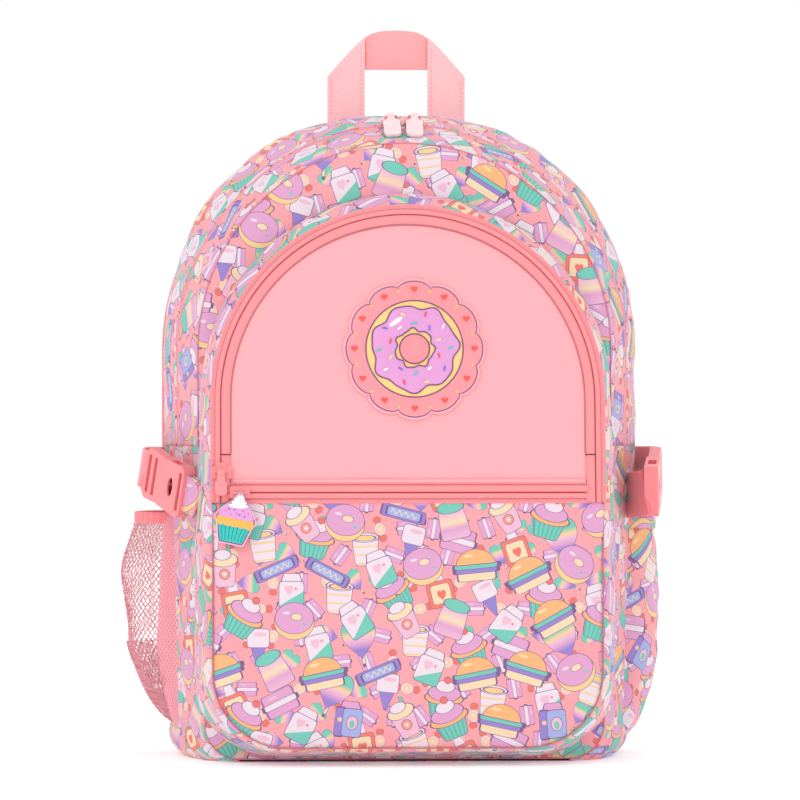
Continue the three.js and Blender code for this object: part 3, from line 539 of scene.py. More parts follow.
class Print(Net):
    """Paints small sweets one shape over another, each kept to the cells of its own kind."""

    EDGE = 0.024

    def sheared(self, p, taper):
        """Makes shapes wider towards the top (taper over 0) or the bottom."""
        x, y, _ = self.split(p)
        return self.combine(self.math("DIVIDE", x, self.math("MULTIPLY_ADD", y, taper, 1.0)), y)

    def fit(self, p, cx, cy, rx, ry):
        return self.vec("MULTIPLY_ADD", p, (1 / rx, 1 / ry, 0.0), (-cx / rx, -cy / ry, 0.0))

    def oval(self, p, cx, cy, rx, ry):
        return self.vec("LENGTH", self.fit(p, cx, cy, rx, ry))

    def block(self, p, cx, cy, rx, ry):
        q = self.fit(p, cx, cy, rx, ry)
        q = self.vec("MULTIPLY", q, q)
        return self.vec("LENGTH", self.vec("MULTIPLY", q, q))

    def heart(self, p, cx, cy, r):
        x, y, _ = self.split(self.fit(p, cx, cy, r, r))
        x = self.math("ABSOLUTE", x)
        y = self.math("MULTIPLY_ADD", self.math("SQRT", x), -0.72, y)
        return self.vec("LENGTH", self.combine(x, self.math("ADD", y, 0.28)))

    def paint(self, base, d, fill, size=None, power=1):
        """Paints where d is under 1, with an ink edge where size gives the shape's smaller radius."""
        if size:
            limit = (1 + self.EDGE / size) ** power
            base = self.mix(self.math("LESS_THAN", d, limit), base, INK)
        return self.mix(self.math("LESS_THAN", d, 1.0), base, fill)

    def disc(self, base, p, cx, cy, rx, ry, fill, size=None):
        return self.paint(base, self.oval(p, cx, cy, rx, ry), fill, size)

    def slab(self, base, p, cx, cy, rx, ry, fill, size):
        return self.paint(base, self.block(p, cx, cy, rx, ry), fill, size, 4)

    # each motif is drawn within about 1 of the middle
    def doughnut(self, p, c):
        c = self.disc(c, p, 0, -0.1, 0.88, 0.78, DOUGH, 0.8)
        c = self.disc(c, p, 0, 0.06, 0.84, 0.68, LILAC, 0.7)
        c = self.disc(c, p, 0.1, 0.12, 0.24, 0.14, CREAM, 0.2)
        c = self.disc(c, p, -0.35, 0.3, 0.16, 0.06, WHITE)
        return self.disc(c, p, 0.45, -0.2, 0.1, 0.05, TEAL)

    def cupcake(self, p, c):
        cup = self.sheared(p, 0.28)
        ribs = self.math("SINE", self.math("MULTIPLY", self.split(cup)[0], 26.0))
        teal = self.mix(self.math("GREATER_THAN", ribs, 0.55), TEAL, linear(70, 180, 168))
        c = self.slab(c, cup, 0, -0.5, 0.72, 0.46, teal, 0.46)
        c = self.disc(c, p, 0, -0.02, 0.86, 0.3, ORANGE, 0.3)
        c = self.disc(c, p, 0, 0.2, 0.74, 0.36, LILAC, 0.36)
        c = self.disc(c, p, 0.02, 0.52, 0.42, 0.26, WHITE, 0.26)
        return self.disc(c, p, 0.1, 0.82, 0.15, 0.15, RED, 0.15)

    def burger(self, p, c):
        c = self.slab(c, p, 0, -0.46, 0.82, 0.26, CREAM, 0.26)
        c = self.slab(c, p, 0, -0.24, 0.9, 0.13, VIOLET, 0.13)
        c = self.slab(c, p, 0, -0.07, 0.94, 0.11, TEAL, 0.11)
        top = self.math("MAXIMUM", self.oval(p, 0, -0.05, 0.86, 0.72), self.above(p, 0.02))
        c = self.paint(c, top, ORANGE, 0.7)
        return self.disc(c, p, -0.3, 0.4, 0.22, 0.07, linear(255, 216, 160))

    def above(self, p, low):
        """Over 1 below the height low, to cut a shape off flat."""
        return self.math("SUBTRACT", 1 + low, self.split(p)[1])

    def carton(self, p, c):
        c = self.slab(c, self.sheared(p, -0.5), 0.0, 0.55, 0.55, 0.2, LILAC, 0.2)
        c = self.slab(c, p, -0.42, -0.2, 0.2, 0.62, VIOLET, 0.2)
        c = self.slab(c, p, 0.14, -0.2, 0.42, 0.62, SKY, 0.42)
        c = self.disc(c, p, 0.14, -0.2, 0.24, 0.3, PALE, 0.24)
        c = self.disc(c, p, 0.14, -0.26, 0.12, 0.18, TEAL)
        return self.disc(c, p, -0.42, -0.1, 0.1, 0.1, DOUGH)

    def milk(self, p, c):
        c = self.slab(c, self.sheared(p, -0.5), 0.0, 0.52, 0.56, 0.22, WHITE, 0.22)
        x, y, _ = self.split(p)
        slope = self.math("ADD", y, self.math("MULTIPLY", x, -0.6))
        side = self.mix(self.math("LESS_THAN", slope, -0.4), WHITE, TEAL)
        c = self.slab(c, p, 0, -0.22, 0.56, 0.6, side, 0.5)
        c = self.paint(c, self.heart(p, -0.12, -0.02, 0.2), PALE)
        return self.disc(c, p, 0.2, 0.05, 0.07, 0.07, PINK)

    def jar(self, p, c):
        bands = self.ramp(
            self.range(self.split(p)[1], -0.9, 0.6, 0.0, 1.0),
            [(0.0, PALE), (0.35, LILAC), (0.55, CREAM), (0.8, PALE), (1.0, LILAC)],
        )
        c = self.slab(c, self.sheared(p, -0.15), 0, -0.12, 0.6, 0.7, bands, 0.6)
        return self.disc(c, p, 0, 0.6, 0.58, 0.26, TEAL, 0.26)

    def shake(self, p, c):
        c = self.slab(c, p, 0.25, 0.6, 0.06, 0.36, TEAL, 0.06)
        cup = self.sheared(p, 0.25)
        c = self.slab(c, cup, 0, -0.4, 0.52, 0.54, PALE, 0.5)
        c = self.disc(c, p, 0, 0.26, 0.6, 0.3, CREAM, 0.3)
        c = self.disc(c, p, -0.04, 0.48, 0.36, 0.22, WHITE, 0.22)
        c = self.disc(c, p, 0, -0.38, 0.22, 0.22, linear(250, 150, 120), 0.22)
        return self.paint(c, self.heart(p, 0, -0.4, 0.1), WHITE)

    def candy(self, p, c):
        wing = self.split(p)
        fan = self.combine(self.math("ABSOLUTE", wing[0]), wing[1])
        c = self.disc(c, fan, 0.76, 0, 0.26, 0.3, RED, 0.26)
        stripe = self.math("SINE", self.math("MULTIPLY_ADD", self.vec("LENGTH", p), 14.0, 1.0))
        ball = self.mix(self.math("GREATER_THAN", stripe, 0.4), linear(253, 205, 170), WHITE)
        return self.disc(c, p, 0, 0, 0.5, 0.44, ball, 0.44)

    def bar(self, p, c):
        c = self.slab(c, p, 0, 0, 0.98, 0.27, VIOLET, 0.27)
        wave = self.math("SINE", self.math("MULTIPLY", self.split(p)[0], 22.0))
        line = self.math("ABSOLUTE", self.math("MULTIPLY_ADD", wave, -0.09, self.split(p)[1]))
        c = self.slab(c, p, 0, 0, 0.74, 0.19, SKY, 0.19)
        inside = self.math("MAXIMUM", self.math("MULTIPLY", line, 28.0), self.block(p, 0, 0, 0.6, 0.17))
        return self.paint(c, inside, CREAM)

    def macaron(self, p, c):
        c = self.slab(c, p, 0, -0.28, 0.74, 0.26, LILAC, 0.26)
        c = self.slab(c, p, 0, 0.26, 0.74, 0.28, LILAC, 0.28)
        c = self.slab(c, p, 0, -0.02, 0.78, 0.13, WHITE, 0.13)
        return self.disc(c, p, -0.25, 0.34, 0.24, 0.06, PALE)

    def lolly(self, p, c):
        c = self.slab(c, p, 0.04, -0.66, 0.06, 0.4, CREAM, 0.06)
        rainbow = self.ramp(
            self.range(self.split(p)[1], -0.4, 0.75, 0.0, 1.0),
            [(0.0, VIOLET), (0.25, LILAC), (0.45, PALE), (0.6, DOUGH), (0.8, TEAL), (1.0, TEAL)],
        )
        return self.paint(c, self.heart(p, 0, 0.12, 0.78), rainbow, 0.78)

    def cone(self, p, c):
        horn = self.sheared(p, 0.85)
        c = self.slab(c, horn, 0, -0.42, 0.36, 0.5, VIOLET, 0.34)
        c = self.slab(c, p, 0, 0.32, 0.5, 0.42, WHITE, 0.42)
        return self.disc(c, p, 0.1, 0.5, 0.3, 0.1, PALE)

    def bottle(self, p, c):
        c = self.slab(c, self.sheared(p, -0.5), 0, 0.62, 0.3, 0.26, WHITE, 0.26)
        c = self.slab(c, p, 0, -0.22, 0.6, 0.6, linear(250, 120, 92), 0.6)
        c = self.slab(c, p, 0, -0.22, 0.44, 0.44, CREAM, 0.44)
        return self.paint(c, self.heart(p, 0.02, -0.28, 0.2), RED)

    def noodle(self, p, c):
        cup = self.sheared(p, 0.16)
        line = self.math("SINE", self.math("MULTIPLY", self.split(cup)[1], 16.0))
        side = self.mix(self.math("GREATER_THAN", line, 0.8), WHITE, DOUGH)
        c = self.slab(c, cup, 0, -0.15, 0.56, 0.62, side, 0.56)
        c = self.disc(c, p, 0, 0.5, 0.6, 0.2, WHITE, 0.2)
        return self.disc(c, p, 0, 0.48, 0.44, 0.12, DOUGH, 0.12)

    def scatter(self, uv, base, motifs, pitch, radius, seed, turn, shift=(0.0, 0.0), reach=0.0):
        """One layer of cells, a motif in each, turned and shifted by chance but the same each time."""
        start = (17.0 * seed + shift[0], 23.0 * seed + shift[1], 0.0)
        s = self.vec("MULTIPLY_ADD", uv, (1 / pitch, 1 / pitch, 0.0), start)
        x, y, _ = self.split(s)
        row = self.math("FLOOR", y)
        shifted = self.combine(self.math("MULTIPLY_ADD", row, 0.5, x), y)
        cell = self.vec("FLOOR", shifted)
        chance = self.node("ShaderNodeTexWhiteNoise", noise_dimensions="2D")
        self.feed(chance.inputs["Vector"], self.vec("ADD", cell, (seed * 7.3, seed * 3.9, 0.0)))
        jitter = self.vec("SUBTRACT", chance.outputs["Color"], (0.5, 0.5, 0.5))
        room = 2 * (0.5 - radius / pitch) + reach
        p = self.vec("SUBTRACT", self.vec("FRACTION", shifted), (0.5, 0.5, 0.0))
        p = self.vec("SUBTRACT", p, self.vec("SCALE", jitter, scale=room))
        p = self.vec("MULTIPLY", p, (pitch / radius, pitch / radius, 0.0))
        swing = self.node("ShaderNodeVectorRotate", rotation_type="Z_AXIS")
        self.feed(swing.inputs["Vector"], p)
        angle = self.math("MULTIPLY", self.split(jitter)[2], 2 * turn)
        self.feed(swing.inputs["Angle"], angle)
        p = swing.outputs[0]
        kind = self.math("FLOOR", self.math("MULTIPLY", chance.outputs["Value"], len(motifs) - 0.001))
        for k, motif in enumerate(motifs):
            away = self.math("COMPARE", kind, float(k), 0.5)
            far = self.math("MULTIPLY_ADD", away, -60.0, 60.0)
            base = motif(self.vec("ADD", p, far), base)
        return base


PITCH = 0.0325  # of the print's large motifs, in metres
SMALL_PITCH = 0.0170


def sweets_group():
    """The printed cloth's colour from its cloth coordinates, in metres."""
    tree = bpy.data.node_groups.new("sweets_print", "ShaderNodeTree")
    tree.interface.new_socket("Cloth", in_out="INPUT", socket_type="NodeSocketVector")
    tree.interface.new_socket("Colour", in_out="OUTPUT", socket_type="NodeSocketColor")
    net = Print(tree)
    uv = net.node("NodeGroupInput").outputs[0]
    tint = net.mix(net.noise(uv, 25.0), GROUND, linear(250, 172, 176))
    tiny = [net.candy, net.macaron, net.lolly]
    small = net.scatter(uv, tint, tiny, SMALL_PITCH, 0.0080, 3, 1.6, (0.3, 0.4))
    back = [net.macaron, net.lolly, net.cone, net.bottle, net.noodle, net.cupcake, net.milk]
    behind = net.scatter(uv, small, back, PITCH, 0.0138, 1, 0.6, (0.25, 0.5), 0.12)
    front = [net.doughnut, net.cupcake, net.burger, net.carton, net.jar, net.shake, net.bar, net.milk]
    colour = net.scatter(uv, behind, front, PITCH, 0.0143, 2, 0.65, (0.0, 0.0), 0.08)
    colour = net.mix(0.16, colour, linear(152, 124, 134))
    out = net.node("NodeGroupOutput")
    tree.links.new(colour, out.inputs[0])
    return tree


# ---------------------------------------------------------------- materials
def new_material(name):
    m = bpy.data.materials.new(name)
    m.use_nodes = True
    net = Net(m.node_tree)
    return m, net, m.node_tree.nodes["Principled BSDF"]


def set_values(shader, **values):
    """Plain values on the shader's own sockets; _ stands for the space in a socket's name."""
    for key, value in values.items():
        shader.inputs[key.replace("_", " ")].default_value = value


def cloth_coordinates(net):
    n = net.node("ShaderNodeUVMap")
    n.uv_map = "cloth"
    return n.outputs[0]


def weave_height(net, uv, pitch):
    """Threads over and under each other, with slubs in them."""
    x, y, _ = net.split(uv)
    a = net.math("SINE", net.math("MULTIPLY", x, TAU / pitch))
    b = net.math("SINE", net.math("MULTIPLY", y, TAU / pitch))
    weave = net.math("MULTIPLY", a, b)
    return net.math("MULTIPLY_ADD", net.noise(uv, 900.0, 3.0), 0.35, weave)


def bump(net, shader, height, strength, distance):
    n = net.node("ShaderNodeBump")
    n.inputs["Strength"].default_value = strength
    n.inputs["Distance"].default_value = distance
    net.feed(n.inputs["Height"], height)
    net.tree.links.new(n.outputs[0], shader.inputs["Normal"])


def darkened(colour, share):
    return (*(c * share for c in colour[:3]), 1.0)


def cloth(name, colour, pitch=0.0009, rough=0.72, sheen=0.25, strength=0.35, vary=0.06, pattern=None):
    """Woven cloth in one colour, or with the node group pattern printed on it. pitch is in metres."""
    m, net, shader = new_material(name)
    uv = cloth_coordinates(net)
    if pattern:
        g = net.node("ShaderNodeGroup")
        g.node_tree = pattern
        net.feed(g.inputs[0], uv)
        base = g.outputs[0]
    else:
        fine = net.noise(uv, 700.0, 2.0)
        broad = net.noise(uv, 30.0, 2.0)
        blotch = net.math("MULTIPLY_ADD", fine, 0.5, net.math("MULTIPLY", broad, 0.5))
        base = net.mix(blotch, colour, darkened(colour, 1 - 2.2 * vary))
    net.feed(shader.inputs["Base Color"], base)
    set_values(shader, Roughness=rough, Sheen_Weight=sheen, Sheen_Roughness=0.45, Specular_IOR_Level=0.3)
    bump(net, shader, weave_height(net, uv, pitch), strength, 0.0001)
    return m


def ribbed(name, colour, pitch=0.0016, strength=0.3):
    """Webbing: fine ribs along the strap, crossed by its threads."""
    m, net, shader = new_material(name)
    uv = cloth_coordinates(net)
    x, y, _ = net.split(uv)
    ribs = net.math("SINE", net.math("MULTIPLY", y, TAU / pitch))
    slant = net.math("MULTIPLY_ADD", ribs, 0.0002, x)
    threads = net.math("SINE", net.math("MULTIPLY", slant, TAU / 0.0011))
    height = net.math("MULTIPLY_ADD", threads, 0.5, ribs)
    shade = net.range(height, -1.2, 0.6, 0.75, 0.0)
    blotch = net.math("MULTIPLY", net.noise(uv, 60.0, 3.0), 0.4)
    base = net.mix(net.math("MULTIPLY", shade, blotch), colour, darkened(colour, 0.82))
    net.feed(shader.inputs["Base Color"], base)
    set_values(shader, Roughness=0.62, Sheen_Weight=0.3, Specular_IOR_Level=0.35)
    bump(net, shader, height, strength, 0.0001)
    return m


def net_cloth(name, threads, between):
    """Gathered netting: crossing threads, with painted shade in the darker gaps between them."""
    m, net, shader = new_material(name)
    x, y, _ = net.split(cloth_coordinates(net))
    lean = net.math("MULTIPLY", y, 0.72)
    a = net.math("SINE", net.math("MULTIPLY", net.math("ADD", x, lean), TAU / 0.0026))
    b = net.math("SINE", net.math("MULTIPLY", net.math("SUBTRACT", x, lean), TAU / 0.0026))
    height = net.math("MAXIMUM", a, b)
    net.feed(shader.inputs["Base Color"], net.mix(net.range(height, 0.1, 0.8, 0.0, 1.0), between, threads))
    set_values(shader, Roughness=0.7, Sheen_Weight=0.2)
    bump(net, shader, height, 0.6, 0.0003)
    return m


def spacer_mesh(name, colour):
    """Air mesh: small round holes in staggered rows, with painted shade in the holes."""
    m, net, shader = new_material(name)
    uv = cloth_coordinates(net)
    n = net.node("ShaderNodeTexVoronoi", voronoi_dimensions="2D")
    net.feed(n.inputs["Vector"], uv)
    n.inputs["Scale"].default_value = 420.0
    n.inputs["Randomness"].default_value = 0.25
    hole = net.range(n.outputs["Distance"], 0.1, 0.42, 0.0, 1.0)
    net.feed(shader.inputs["Base Color"], net.mix(hole, darkened(colour, 0.45), colour))
    set_values(shader, Roughness=0.85, Sheen_Weight=0.35)
    bump(net, shader, hole, 0.7, 0.0004)
    return m


def moulded(name, colour, rough=0.32, grain=0.12, glow=0.12):
    """Moulded plastic or rubber: soft gloss, a fine grain and a little light through it."""
    m, net, shader = new_material(name)
    where = net.node("ShaderNodeTexCoord").outputs["Object"]
    blotch = net.noise(where, 180.0, 3.0)
    net.feed(shader.inputs["Base Color"], net.mix(blotch, colour, darkened(colour, 0.9)))
    gloss = net.range(net.noise(where, 400.0), 0.3, 0.7, rough - 0.05, rough + 0.08)
    net.feed(shader.inputs["Roughness"], gloss)
    set_values(shader, Subsurface_Weight=glow, Subsurface_Radius=(0.002, 0.001, 0.001), Coat_Weight=0.15)
    bump(net, shader, net.noise(where, 1500.0, 2.0), grain, 0.0001)
    return m


def shiny_metal(name):
    m, net, shader = new_material(name)
    where = net.node("ShaderNodeTexCoord").outputs["Object"]
    base = net.mix(net.noise(where, 300.0, 3.0), linear(225, 222, 226), linear(190, 188, 196))
    net.feed(shader.inputs["Base Color"], base)
    set_values(shader, Metallic=1.0)
    net.feed(shader.inputs["Roughness"], net.range(net.noise(where, 900.0), 0.3, 0.7, 0.18, 0.32))
    return m


def shade_cloth(name, colour):
    """For seam lines and slits, which only show as a darker line."""
    return cloth(name, colour, pitch=0.0006, rough=0.8, sheen=0.0, strength=0.3)


def rubber_set(kind, colours, rough, grain):
    """Moulded rubber in each of the colours, by its key."""
    return {key: moulded(f"{kind}_{key}", colour, rough, grain) for key, colour in colours.items()}


sweets = sweets_group()
printed = cloth("printed_cloth", GROUND, 0.0008, rough=0.62, sheen=0.15, strength=0.25, pattern=sweets)
plain = cloth("plain_cloth", linear(252, 172, 178), 0.0013, rough=0.6, sheen=0.3, strength=0.45, vary=0.03)
back_cloth = cloth("back_cloth", linear(250, 160, 168), 0.0013, rough=0.65, strength=0.4, vary=0.03)
tape = cloth("zip_tape", linear(250, 150, 154), 0.0008, rough=0.55, sheen=0.2, strength=0.35, vary=0.04)
# painted shade for the zips' slits
slit_shade = cloth("zip_slit_shade", linear(205, 84, 92), 0.0008, rough=0.8, sheen=0.0, strength=0.3)
lining = cloth("lining_cloth", linear(247, 196, 206), 0.0006, rough=0.55, strength=0.2)
board_fibre = cloth("board_fibre", linear(225, 190, 196), 0.0012, rough=0.8, strength=0.3)
net_thread = cloth("net_thread", linear(245, 166, 177), 0.0004, rough=0.6, strength=0.3)
thread = cloth("sewing_thread", linear(250, 160, 164), 0.0003, rough=0.5, sheen=0.2, strength=0.4)
# painted shadow under the flap's hem fold
hem_painted_shadow = shade_cloth("hem_painted_shadow", linear(190, 92, 96))
soft_shade = shade_cloth("soft_shade", linear(228, 144, 150))
seam_shade = shade_cloth("seam_shade", linear(206, 122, 130))
strap_web = ribbed("webbing_weave", linear(251, 158, 163))
# the handle's one webbing in two copies: darker on the crown as painted shade on its inner face, lighter on
# the legs as painted light
crown_shaded_web = ribbed("crown_webbing", linear(248, 168, 170))
leg_lit_web = ribbed("leg_webbing", linear(251, 195, 197))
binding_web = ribbed("binding_weave", linear(244, 128, 136), pitch=0.0012, strength=0.4)
net_band = net_cloth("net_band_cloth", linear(246, 172, 182), linear(236, 140, 154))
air_mesh = spacer_mesh("air_mesh", linear(243, 140, 152))
plastic = moulded("buckle_plastic", linear(250, 140, 146))
pull_plastic = moulded("pull_plastic", linear(252, 216, 218), rough=0.16, glow=0.2)
slider_paint = moulded("slider_paint", linear(246, 146, 150), rough=0.24, glow=0.0)
metal = shiny_metal("ring_metal")


# ---------------------------------------------------------------- the object's shapes
def shown(obj, body, slot, *nodes):
    """Places a finished piece: it rides on its body and stands for its CAD nodes. Its slot is not used."""
    obj.data.update()
    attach(obj, body)
    if nodes:
        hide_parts(*nodes)
    return obj


def moulding(node, body, slot, material, bevel=0.4):
    obj = refined(node, material, bevel)
    return shown(obj, body, slot)


def body_radius(y):
    if y > WIDEST_Y:
        return WIDEST_R - 3 * ((y - WIDEST_Y) / 33) ** 2
    return FRONT_R + 21 * math.sin(math.pi / 2 * (y - FRONT_Y) / (WIDEST_Y - FRONT_Y))


def taper(z):
    return BASE_TAPER * max(0.0, 1 - z / ZIP_END_Z)


def crease(x, y, z):
    """How far the cloth sinks in at a point of the body, as soft cloth does."""
    broad = 2.6 * max(0.0, ripple(x, y, z, 46, 3.1))
    folds = 1.6 * max(0.0, ripple(x * 1.4, y * 0.7, z, 21, 8.7))
    return broad + folds + 0.5 * ripple(x, y, z, 8, 1.3)


def strip_point(y, u, sink=0.0):
    """On the body from the left end of the main zip (u = 0) over the top to its right end (u = 1)."""
    r = body_radius(y) - sink
    leg = ARCH_Z - ZIP_END_Z
    total = 2 * leg + math.pi * r
    d = u * total
    if d < leg:
        return Vector((-r, y, ZIP_END_Z - 1.5 + d * (leg + 1.5) / leg))
    if d > total - leg:
        return Vector((r, y, ZIP_END_Z - 1.5 + (total - d) * (leg + 1.5) / leg))
    a = math.pi - (d - leg) / r
    return Vector((r * math.cos(a), y, ARCH_Z + r * math.sin(a)))


def swell(x, y, z):
    """How far the stuffed cloth stands out past the frame, most at the shoulders of the top."""
    deep = smooth(-1.7, 35, y) * smooth(REAR_Y, 58, y)
    side = (1.8 if x > 0 else 0.2) * smooth(20, 80, z) * smooth(ARCH_Z + 150, ARCH_Z + 60, z)
    if z < ARCH_Z:
        return side * deep
    share = math.atan2(z - ARCH_Z, abs(x)) / (math.pi / 2)
    return (side + SHOULDER_SWELL * smooth(0.08, 0.5, share) * smooth(1.05, 0.6, share)) * deep


def outward_at(p):
    """Straight out from the body at a point of its sides or top."""
    if p[2] > ARCH_Z:
        return Vector((p[0], 0, p[2] - ARCH_Z)).normalized()
    return Vector((1 if p[0] > 0 else -1, 0, 0))


def tuck(y, edge):
    """The cloth turns in at its front seam, out to the piping at its rear seam and over the zip's edges."""
    if abs(y - MAIN_ZIP_Y) < 8:
        return -WELT_RISE * (1 - smooth(1.5, 6, edge)) * smooth(0, 0.8, edge + 0.5)
    if y > WIDEST_Y:
        return -2.4 * (1 - smooth(0, 3.5, edge))
    return 0.8 * (1 - smooth(0, 2.2, edge))


def body_strip(name, y0, y1, node, puff=0.0):
    """Printed cloth of the top between two seams; y1 may change along the strip."""

    def at(u, v):
        y = lerp(y0, y1, v)
        p = strip_point(y, u)
        edge = min(v, 1 - v) * abs(y1 - y0)
        soft = smooth(0, 14, edge)
        if p.z < ZIP_END_Z + 16:
            soft *= smooth(0, 14, p.z - ZIP_END_Z)
        sink = crease(*p) * soft + tuck(y, edge)
        if p.z < ZIP_END_Z + 0.3:
            sink -= LAP
        sink -= puff * math.sin(math.pi * v) * smooth(0, 25, p.z - ZIP_END_Z) + swell(*p)
        return p - outward_at(p) * sink

    width = abs(y1 - y0)
    obj = grid(name, 260, max(8, int(width / 2.2)), at, printed, uv_start=(0.013, y0 * MM))
    thicken(obj, CLOTH_T, -1)
    return shown(obj, "root", "printed_fabric", node)


def side_point(side, y, s):
    """On a side wall, from the base seam (s = 0) up to the end of the main zip (s = 1)."""
    r = body_radius(y)
    arc = BASE_CORNER * math.pi / 2
    total = arc + ZIP_END_Z - BASE_CORNER
    d = s * total
    if d < arc:
        a = -math.pi / 2 + d / BASE_CORNER
        cx = r - BASE_TAPER * (1 - BASE_CORNER / ZIP_END_Z) - BASE_CORNER
        return Vector((side * (cx + BASE_CORNER * math.cos(a)), y, BASE_CORNER + BASE_CORNER * math.sin(a)))
    z = BASE_CORNER + d - arc
    return Vector((side * (r - taper(z)), y, z))


def side_wall(side, name, node):
    def at(u, v):
        y = lerp(FRONT_Y, REAR_Y, u)
        p = side_point(side, y, v)
        edge = min(u, 1 - u) * (REAR_Y - FRONT_Y)
        soft = smooth(0, 14, edge) * smooth(0, 16, p[2]) * smooth(0, 14, ZIP_END_Z - p[2])
        if p[2] < POCKET_MOUTH:
            soft *= smooth(1, 10, min(abs(y - PANEL_Y0), abs(y - PANEL_Y1)))
        sink = crease(*p) * soft - swell(*p) + tuck(y, edge)
        if p[2] < BASE_CORNER:
            a = math.acos(clamp(1 - p[2] / BASE_CORNER))
            full = BASE_FULLNESS * math.sin(2 * a) * smooth(0, 18, edge)
            return p + Vector((side * math.sin(a), 0, -math.cos(a))) * full - Vector((side, 0, 0)) * sink
        return p - Vector((side, 0, 0)) * sink

    obj = grid(name, 52, 90, at, printed, uv_start=(0.05 if side > 0 else 0.31, 0.0), flip=side < 0)
    thicken(obj, CLOTH_T, -1)
    return shown(obj, "root", "printed_fabric", node)


def main_compartment():
    body_strip("top_cloth_front", FRONT_Y, MAIN_ZIP_Y - WELT_EDGE, "top_gusset_front", 0.5)
    body_strip("top_cloth_rear", MAIN_ZIP_Y + WELT_EDGE, REAR_Y, "top_gusset_rear", 0.4)
    side_wall(-1, "side_cloth_left", "side_gusset_left")
    side_wall(1, "side_cloth_right", "side_gusset_right")

    def base_at(u, v):
        y = lerp(FRONT_Y, REAR_Y, v)
        half = body_radius(y) - BASE_TAPER * (1 - BASE_CORNER / ZIP_END_Z) - BASE_CORNER
        return Vector((lerp(-half, half, u), y, 0.0))

    base = grid("base_cloth", 60, 20, base_at, printed)
    thicken(base, 1.4, -1)
    shown(base, "root", "printed_fabric", "base_panel")
    board = moulding("base_board", "root", "base_board", board_fibre, 0.5)
    board.name = "base_board_stiffener"

    half = FRONT_R - 0.3
    front = Outline(-half, half, 1.5, ARCH_Z + half, BASE_CORNER, half - 0.1)

    def front_at(x, z, inset):
        x *= 1 - taper(z) / FRONT_R
        out = 7.5 * (1 - math.exp(-inset / 8.0)) * smooth(-10, 30, z)
        out -= crease(x, -40, z) * 0.8 * smooth(4, 22, inset)
        return Vector((x, FRONT_Y - out, z))

    # a thin line of painted shade along the front panel's seam
    line = [Vector((x * (1 - taper(z) / FRONT_R), FRONT_Y - 0.4, z)) for x, z in front.loop(240)]
    seam = wire("front_seam", line, 0.32, soft_shade)
    shown(seam, "root", "printed_fabric")

    obj = panel("front_cloth", front, 220, rings(front, 5), front_at, printed, (0.4, 0.0))
    thicken(obj, CLOTH_T, -1)
    shown(obj, "root", "printed_fabric", "front_panel")


# ---------------------------------------------------------------- zips
def lip_profile(width, rise, slit_side, ridge):
    """Section of one side of a closed coil zip: a soft ridge that turns down at the slit, then flat tape.
    across runs from the slit outwards on slit_side."""
    points = [
        (0.25, -0.8),
        (0.3, rise * 0.4),
        (ridge * 0.2, rise * 0.85),
        (ridge * 0.4, rise),
        (ridge * 0.65, rise * 0.95),
        (ridge * 0.85, rise * 0.68),
        (ridge, rise * 0.2),
        (ridge + 0.3, rise * 0.08),
        (width - 0.3, rise * 0.12),
        (width, 0.0),
        (width, -0.7),
        (ridge * 0.8, -0.9),
    ]
    return [(a * slit_side, b) for a, b in points]


def zip_lips(name, path, side_a, side_b, rise):
    """Both lips along path, a list of (point, across, up). A side is (width, ridge), and a is at -across."""
    a = sweep(f"{name}_a", path, lip_profile(side_a[0], rise, -1, side_a[1]), tape)
    b = sweep(f"{name}_b", path, lip_profile(side_b[0], rise, 1, side_b[1]), tape)
    return a, b


def dark_slit(name, path, width=0.7, material=slit_shade):
    """The thin dark line between the lips, where the closed coil lies: painted shade in the slit."""
    half = width / 2
    return sweep(name, path, [(-half, -0.3), (half, -0.3), (half, -1.2), (-half, -1.2)], material)


def main_zip():
    slope = math.atan2(body_radius(MAIN_ZIP_Y + 8) - body_radius(MAIN_ZIP_Y - 8), 16)
    path = []
    steps = 240
    for i in range(steps + 1):
        p = strip_point(MAIN_ZIP_Y, i / steps)
        out = outward_at(p)
        back = Vector((0, 1, 0))
        across = back * math.cos(slope) + out * math.sin(slope)
        up = out * math.cos(slope) - back * math.sin(slope)
        path.append((p - out * 0.2, across, up))
    front, rear = zip_lips("main_zip", path, MAIN_LIP, MAIN_LIP, 0.9)
    slit = dark_slit("main_zip_slit", path)
    front = join("main_zip_lip_front", [front, slit])
    shown(front, "root", "zip_tape", "main_zip_stringer_front")
    rear.name = "main_zip_lip_rear"
    shown(rear, "root", "zip_tape", "main_zip_stringer_rear")
    seams = []
    for side in (-1, 1):
        pts = [p + a * side * 5.6 + u * 0.35 for p, a, u in path]
        seams.append(stitches(f"main_zip_seam_{side}", pts, [u for _, _, u in path], thread))
    seam = join("main_zip_stitching", seams)
    shown(seam, "root", "zip_tape")
    for name in ("left", "right"):
        moulding(f"main_slider_{name}", f"main_slider_{name}", "moulded_plastic", slider_paint, 0.5)
        moulding(f"main_pull_{name}", f"main_pull_{name}", "moulded_plastic", pull_plastic, 0.55)


def face_point(x, out, up):
    """A point of the front pocket's leaning upper face: out is towards the viewer, up is along the face."""
    c, s = math.cos(FLAP_TILT), math.sin(FLAP_TILT)
    return Vector((x, POCKET_Y - out * c + up * s, TILT_Z + out * s + up * c))


FACE_OUT = Vector((0, -math.cos(FLAP_TILT), math.sin(FLAP_TILT)))
FACE_UP = Vector((0, math.sin(FLAP_TILT), math.cos(FLAP_TILT)))


